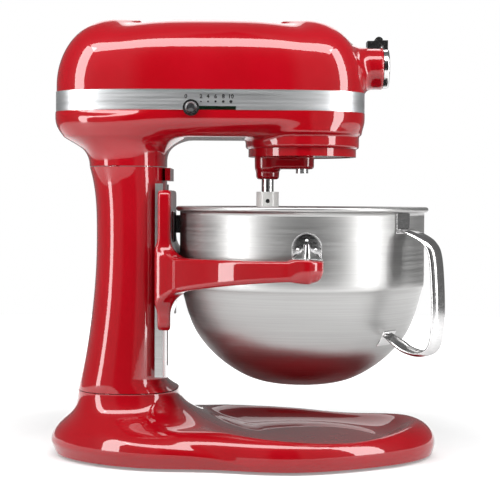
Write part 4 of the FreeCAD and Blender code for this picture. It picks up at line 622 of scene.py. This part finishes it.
def make_handle():
    """A strap with rolled edges, from a tab under the bead out to the grip and back under to its foot."""
    path = smooth_line(HANDLE_PATH, 8)
    direction = np.gradient(path, axis=0)
    direction /= np.linalg.norm(direction, axis=1, keepdims=True)
    outward = np.column_stack([-direction[:, 1], direction[:, 0]])
    half = HANDLE_WIDTH / 2
    across = np.linspace(-1, 1, 17)
    outer = [(half * a, 0.9 - 3.6 * abs(a) ** 3.5) for a in across]
    inner = [(half * 0.9 * a, -0.6 - 3.6 * abs(a) ** 3.5) for a in across[::-1]]
    section = outer + inner
    points, faces = [], []
    count = len(section)
    for index, ((r, z), (nr, nz)) in enumerate(zip(path, outward)):
        share = index / (len(path) - 1)
        arch = np.clip(min(share, 1 - share) / 0.12, 0.15, 1)
        for w, n in section:
            depth = n * arch
            points.append((r + nr * depth, w, z + nz * depth))
        if index:
            start = (index - 1) * count
            faces += [(start + i, start + (i + 1) % count, start + count + (i + 1) % count, start + count + i)
                      for i in range(count)]
    last = len(points) - count
    faces += [tuple(range(count))[::-1], tuple(range(last, last + count))]
    strap = tidy_normals(new_object("handle_strap", around_bowl(points, HANDLE_ANGLE), faces, "bowl",
                                    "polished_steel"))
    tab = plate_on_bowl("handle_tab", HANDLE_WIDTH + 1, 217, 235.5, 1.4, 0, HANDLE_ANGLE)
    foot = plate_on_bowl("handle_foot", HANDLE_WIDTH, 113, 127, 1.2, 0.1, HANDLE_ANGLE)
    for piece in (strap, tab, foot):
        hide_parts("bowl_handle")


def make_brackets():
    """On each side of the bowl: a round-topped plate, its raised rim, weld dots, a flange over the pin."""
    low, high = box_mm("bowl_brackets")
    half, top = (high[0] - low[0]) / 2, high[2]
    straight = top - half - low[2]
    for name, side in (("right", -1), ("left", 1)):
        arch = [(half * math.cos(a), straight + half * math.sin(a)) for a in np.linspace(0, math.pi, 25)]
        outline = [(half, 0)] + arch + [(-half, 0)]
        pieces = [arch_sheet(f"bracket_plate_{name}", outline, 1.0, 0.05, 1.0, side, low[2]),
                  arch_sheet(f"bracket_rim_{name}", outline, 0.92, 0.05, 1.9, side, low[2])]
        reach = PIN_OFFSET + 8 - BOWL_RADIUS
        flange = [(x, y) for x in np.linspace(-half, half, 9) for y in (BOWL_RADIUS - 3, BOWL_RADIUS + reach)]
        flange_low = [[(AXIS + x, side * y, low[2] + 0.1) for x, y in flange[i:i + 2]]
                      for i in range(0, len(flange), 2)]
        flange_high = [[(x, y, z + 1.5) for x, y, z in row] for row in flange_low]
        points, faces = shell_patch(flange_low, flange_high)
        pieces.append(tidy_normals(new_object(f"bracket_flange_{name}", points, faces, "bowl",
                                              "polished_steel"), 0.4))
        for number, (across, up) in enumerate(((-8, 9), (8, 9), (0, 17))):
            pieces.append(weld_dot(f"weld_dot_{name}_{number}", across, low[2] + up, side))
        for piece in pieces:
            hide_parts("bowl_brackets")


def arch_sheet(name, outline, inner_share, low, high, side, foot):
    """A sheet on the bowl's side: the whole outline, or only its rim where the inner share is under 1."""
    centre = (0, outline[1][1])
    def ring(share, lift):
        row = []
        for x, z in outline:
            px, pz = x * share, max(centre[1] + (z - centre[1]) * share, 0)
            angle = px / BOWL_RADIUS
            r = BOWL_RADIUS + lift
            row.append((AXIS + r * math.sin(angle), side * r * math.cos(angle), foot + pz))
        return row
    shares = [0.02, 0.35, 0.7, 1.0] if inner_share == 1.0 else [inner_share, 1.0]
    points, faces = shell_patch([ring(s, low) for s in shares], [ring(s, high) for s in shares])
    return tidy_normals(new_object(name, points, faces, "bowl", "polished_steel"), 0.25)


def weld_dot(name, across, z, side):
    rings = [(0.0, 1.75), (0.8, 1.6), (1.3, 1.1), (1.4, 0.5)]
    steps = 16
    points, faces = [(AXIS + across, side * (BOWL_RADIUS + 1.75), z)], []
    for r, lift in rings[1:]:
        for a in np.linspace(0, 2 * math.pi, steps, endpoint=False):
            x = across + r * math.cos(a)
            drop = BOWL_RADIUS - math.sqrt(BOWL_RADIUS ** 2 - x ** 2)
            points.append((AXIS + x, side * (BOWL_RADIUS + lift - drop), z + r * math.sin(a)))
    for i in range(steps):
        j = (i + 1) % steps
        faces.append((0, 1 + i, 1 + j))
        for k in range(len(rings) - 2):
            start = 1 + k * steps
            faces.append((start + i, start + steps + i, start + steps + j, start + j))
    faces.append(tuple(range(1 + (len(rings) - 2) * steps, 1 + (len(rings) - 1) * steps)))
    return tidy_normals(new_object(name, points, faces, "bowl", "polished_steel"))


# ------------------------------------------------------------------ planetary arm
PLANET_LOW, PLANET_HIGH = box_mm("planetary_housing")
CARRIER_BOTTOM, CARRIER_HALF = 277, PLANET_HIGH[1]


def planetary_field(x, y, z):
    """The arm under the drip ring, the post round the beater's shaft and the hub that turns in the head."""
    post_x = PLANET_LOW[0] + CARRIER_HALF
    post = np.hypot(x - post_x, y) - (CARRIER_HALF - 1.4 + 0.05 * (z - PLANET_LOW[2]))
    post = smooth_max(post, np.maximum(PLANET_LOW[2] - z, z - DRIP_BOTTOM - 1), 3)
    along = np.clip(x, post_x, AXIS)
    arm = smooth_max(np.hypot(x - along, y) - CARRIER_HALF + 0.8,
                     np.abs(z - (CARRIER_BOTTOM + DRIP_BOTTOM) / 2) - (DRIP_BOTTOM - CARRIER_BOTTOM) / 2, 3)
    hub = np.maximum(np.hypot(x - AXIS, y) - 11, np.abs(z - (DRIP_BOTTOM + 8)) - 9)
    plate = np.maximum(np.hypot(x - AXIS, y) - 43, np.abs(z - (DRIP_BOTTOM + 2)) - 1.5)
    return smooth_min(smooth_min(smooth_min(post, arm, 4), hub, 2), plate, 1.5)


# ------------------------------------------------------------------ speed scale
SCALE_PLACES = (-55, -41, -34.5, -27.5, -20.4, -13.4)      # X of 0, 2, 4, 6, 8 and 10


def make_speed_scale():
    """Numbers over the slot and, from 2 up, a growing dot under each, just proud of the band."""
    pieces = []
    low, high = box_mm("speed_scale")
    for number, x in zip(range(0, 12, 2), SCALE_PLACES):
        curve = bpy.data.curves.new(f"speed_number_{number}", "FONT")
        curve.body, curve.size, curve.extrude, curve.align_x = str(number), 5.2 * MM, 0.3 * MM, "CENTER"
        curve.offset = 0.09 * MM
        text = bpy.data.objects.new("text", curve)
        mesh = bpy.data.meshes.new_from_object(text)
        bpy.data.objects.remove(text)
        faces = [tuple(polygon.vertices) for polygon in mesh.polygons]
        placed = [(x + v.co.x / MM, -band_side(x) - v.co.z / MM, high[2] - 6.6 + v.co.y / MM)
                  for v in mesh.vertices]
        pieces.append(new_object(f"speed_number_{number}", placed, faces, "stand", "black_plastic"))
        pieces[-1].data.shade_flat()
        if number:
            pieces.append(scale_dot(f"speed_dot_{number}", x, low[2] + 1.8, 0.45 + 0.11 * number))
    for piece in pieces:
        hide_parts("speed_scale")


def scale_dot(name, x, z, radius):
    steps = 20
    side = band_side(x)
    points = [(x + share * radius * math.cos(a), -side - lift, z + share * radius * math.sin(a))
              for share, lift in ((1, -0.3), (1, 0.2), (0.85, 0.3))
              for a in np.linspace(0, 2 * math.pi, steps, endpoint=False)]
    faces = [tuple(range(steps)), tuple(range(2 * steps, 3 * steps))]
    for row in (0, steps):
        faces += [(row + i, row + (i + 1) % steps, row + steps + (i + 1) % steps, row + steps + i)
                  for i in range(steps)]
    return tidy_normals(new_object(name, points, faces, "stand", "black_plastic"))


def band_side(x):
    """Half width of the trim band at an X place."""
    middle, reach = (BAND_REAR + BAND_FRONT) / 2, (BAND_FRONT - BAND_REAR) / 2
    return BAND_SIDE * (1 - abs((x - middle) / reach) ** 3.2) ** (1 / 3.2)


# ------------------------------------------------------------------ camera, lights and floor
def make_camera():
    lens = bpy.data.cameras.new("camera")
    lens.sensor_width, lens.lens, lens.clip_start = 36, 96.4, 0.05
    camera = bpy.data.objects.new("camera", lens)
    bpy.context.scene.collection.objects.link(camera)
    camera.location = Vector((4.7, -1300, 247)) * MM
    camera.rotation_euler = (math.radians(90 - 2.14), math.radians(-0.3), 0)
    bpy.context.scene.camera = camera


def make_panel(name, azimuth, elevation, distance, size, power):
    """A softbox aimed at the mixer; azimuth is measured from the -Y side towards +X."""
    light = bpy.data.lights.new(name, "AREA")
    light.shape, light.size, light.size_y, light.energy = "RECTANGLE", size[0], size[1], power
    panel = bpy.data.objects.new(name, light)
    bpy.context.scene.collection.objects.link(panel)
    a, e = math.radians(azimuth), math.radians(elevation)
    target = Vector((0, 0, 0.22))
    direction = Vector((math.sin(a) * math.cos(e), -math.cos(a) * math.cos(e), math.sin(e)))
    panel.location = target + direction * distance
    panel.rotation_euler = direction.to_track_quat("Z", "Y").to_euler()


# Share of a full turn about Z, starting behind the mixer, and the room's grey there: dark round the camera
ROOM_GREYS = ((0.0, 0.20), (0.25, 0.20), (0.40, 0.28), (0.45, 0.32), (0.47, 0.02), (0.535, 0.02),
              (0.555, 0.32), (0.63, 0.28), (0.75, 0.20), (1.0, 0.20))


def make_studio():
    make_panel("left_panel", -58, 14, 1.3, (0.32, 1.7), 20)
    make_panel("right_panel", 60, 14, 1.3, (0.32, 1.7), 20)
    make_panel("top_panel", 0, 60, 1.4, (2.0, 0.45), 30)
    make_panel("back_panel", 180, 35, 1.6, (1.2, 0.8), 5)
    world = bpy.data.worlds.new("studio")
    bpy.context.scene.world = world
    world.use_nodes = True
    nodes, links = world.node_tree.nodes, world.node_tree.links
    seen, light = nodes.new("ShaderNodeBackground"), nodes["Background"]
    seen.inputs["Color"].default_value = (1, 1, 1, 1)
    place, split = nodes.new("ShaderNodeTexCoord"), nodes.new("ShaderNodeSeparateXYZ")
    links.new(place.outputs["Generated"], split.inputs["Vector"])
    turn, front = nodes.new("ShaderNodeMath"), nodes.new("ShaderNodeMath")
    front.operation, front.inputs[1].default_value = "MULTIPLY", -1
    links.new(split.outputs["Y"], front.inputs[0])
    turn.operation = "ARCTAN2"
    links.new(split.outputs["X"], turn.inputs[0])
    links.new(front.outputs["Value"], turn.inputs[1])
    ramp, spread = nodes.new("ShaderNodeValToRGB"), nodes.new("ShaderNodeMapRange")
    spread.inputs["From Min"].default_value, spread.inputs["From Max"].default_value = -math.pi, math.pi
    links.new(turn.outputs["Value"], spread.inputs["Value"])
    links.new(spread.outputs["Result"], ramp.inputs["Fac"])
    while len(ramp.color_ramp.elements) < len(ROOM_GREYS):
        ramp.color_ramp.elements.new(0.5)
    for element, (position, grey) in zip(ramp.color_ramp.elements, ROOM_GREYS):
        element.position, element.color = position, (grey, grey, grey, 1)
    links.new(ramp.outputs["Color"], light.inputs["Color"])
    mix, path = nodes.new("ShaderNodeMixShader"), nodes.new("ShaderNodeLightPath")
    links.new(path.outputs["Is Camera Ray"], mix.inputs["Fac"])
    links.new(light.outputs["Background"], mix.inputs[1])
    links.new(seen.outputs["Background"], mix.inputs[2])
    links.new(mix.outputs["Shader"], nodes["World Output"].inputs["Surface"])
    bpy.context.scene.view_settings.view_transform = "Standard"


def make_floor():
    mesh = bpy.data.meshes.new("floor")
    reach, corners = 1.6, 96
    edge = [(reach * math.cos(a), reach * math.sin(a), 0)
            for a in np.linspace(0, 2 * math.pi, corners, endpoint=False)]
    mesh.from_pydata(edge, [], [tuple(range(corners))])
    floor = bpy.data.objects.new("floor", mesh)
    bpy.context.scene.collection.objects.link(floor)
    paper_painted_glow = Finish("paper_painted_glow")
    paper_painted_glow.colour(paper_painted_glow.noise(3), (0.58, 0.58, 0.58), (0.60, 0.60, 0.60))
    paper_painted_glow.roughness(paper_painted_glow.noise(40), 0.7, 0.8)
    # Painted light: the floor glows white, at strength 0.25 within 0.25 m of its middle under the mixer,
    # rising to full strength 0.8 m out.
    paper_painted_glow.shader.inputs["Emission Color"].default_value = (1, 1, 1, 1)
    distance, glow = paper_painted_glow.nodes.new("ShaderNodeVectorMath"), paper_painted_glow.nodes.new("ShaderNodeMapRange")
    distance.operation = "LENGTH"
    paper_painted_glow.links.new(paper_painted_glow.place, distance.inputs[0])
    paper_painted_glow.links.new(distance.outputs["Value"], glow.inputs["Value"])
    glow.inputs["From Min"].default_value, glow.inputs["From Max"].default_value = 0.25, 0.8
    glow.inputs["To Min"].default_value, glow.inputs["To Max"].default_value = 0.25, 1.0
    paper_painted_glow.links.new(glow.outputs["Result"], paper_painted_glow.shader.inputs["Emission Strength"])
    mesh.materials.append(paper_painted_glow.material)


make_camera()
make_studio()
make_floor()
dress_nodes()
make_castings()
make_bowl()
make_handle()
make_brackets()
make_speed_scale()
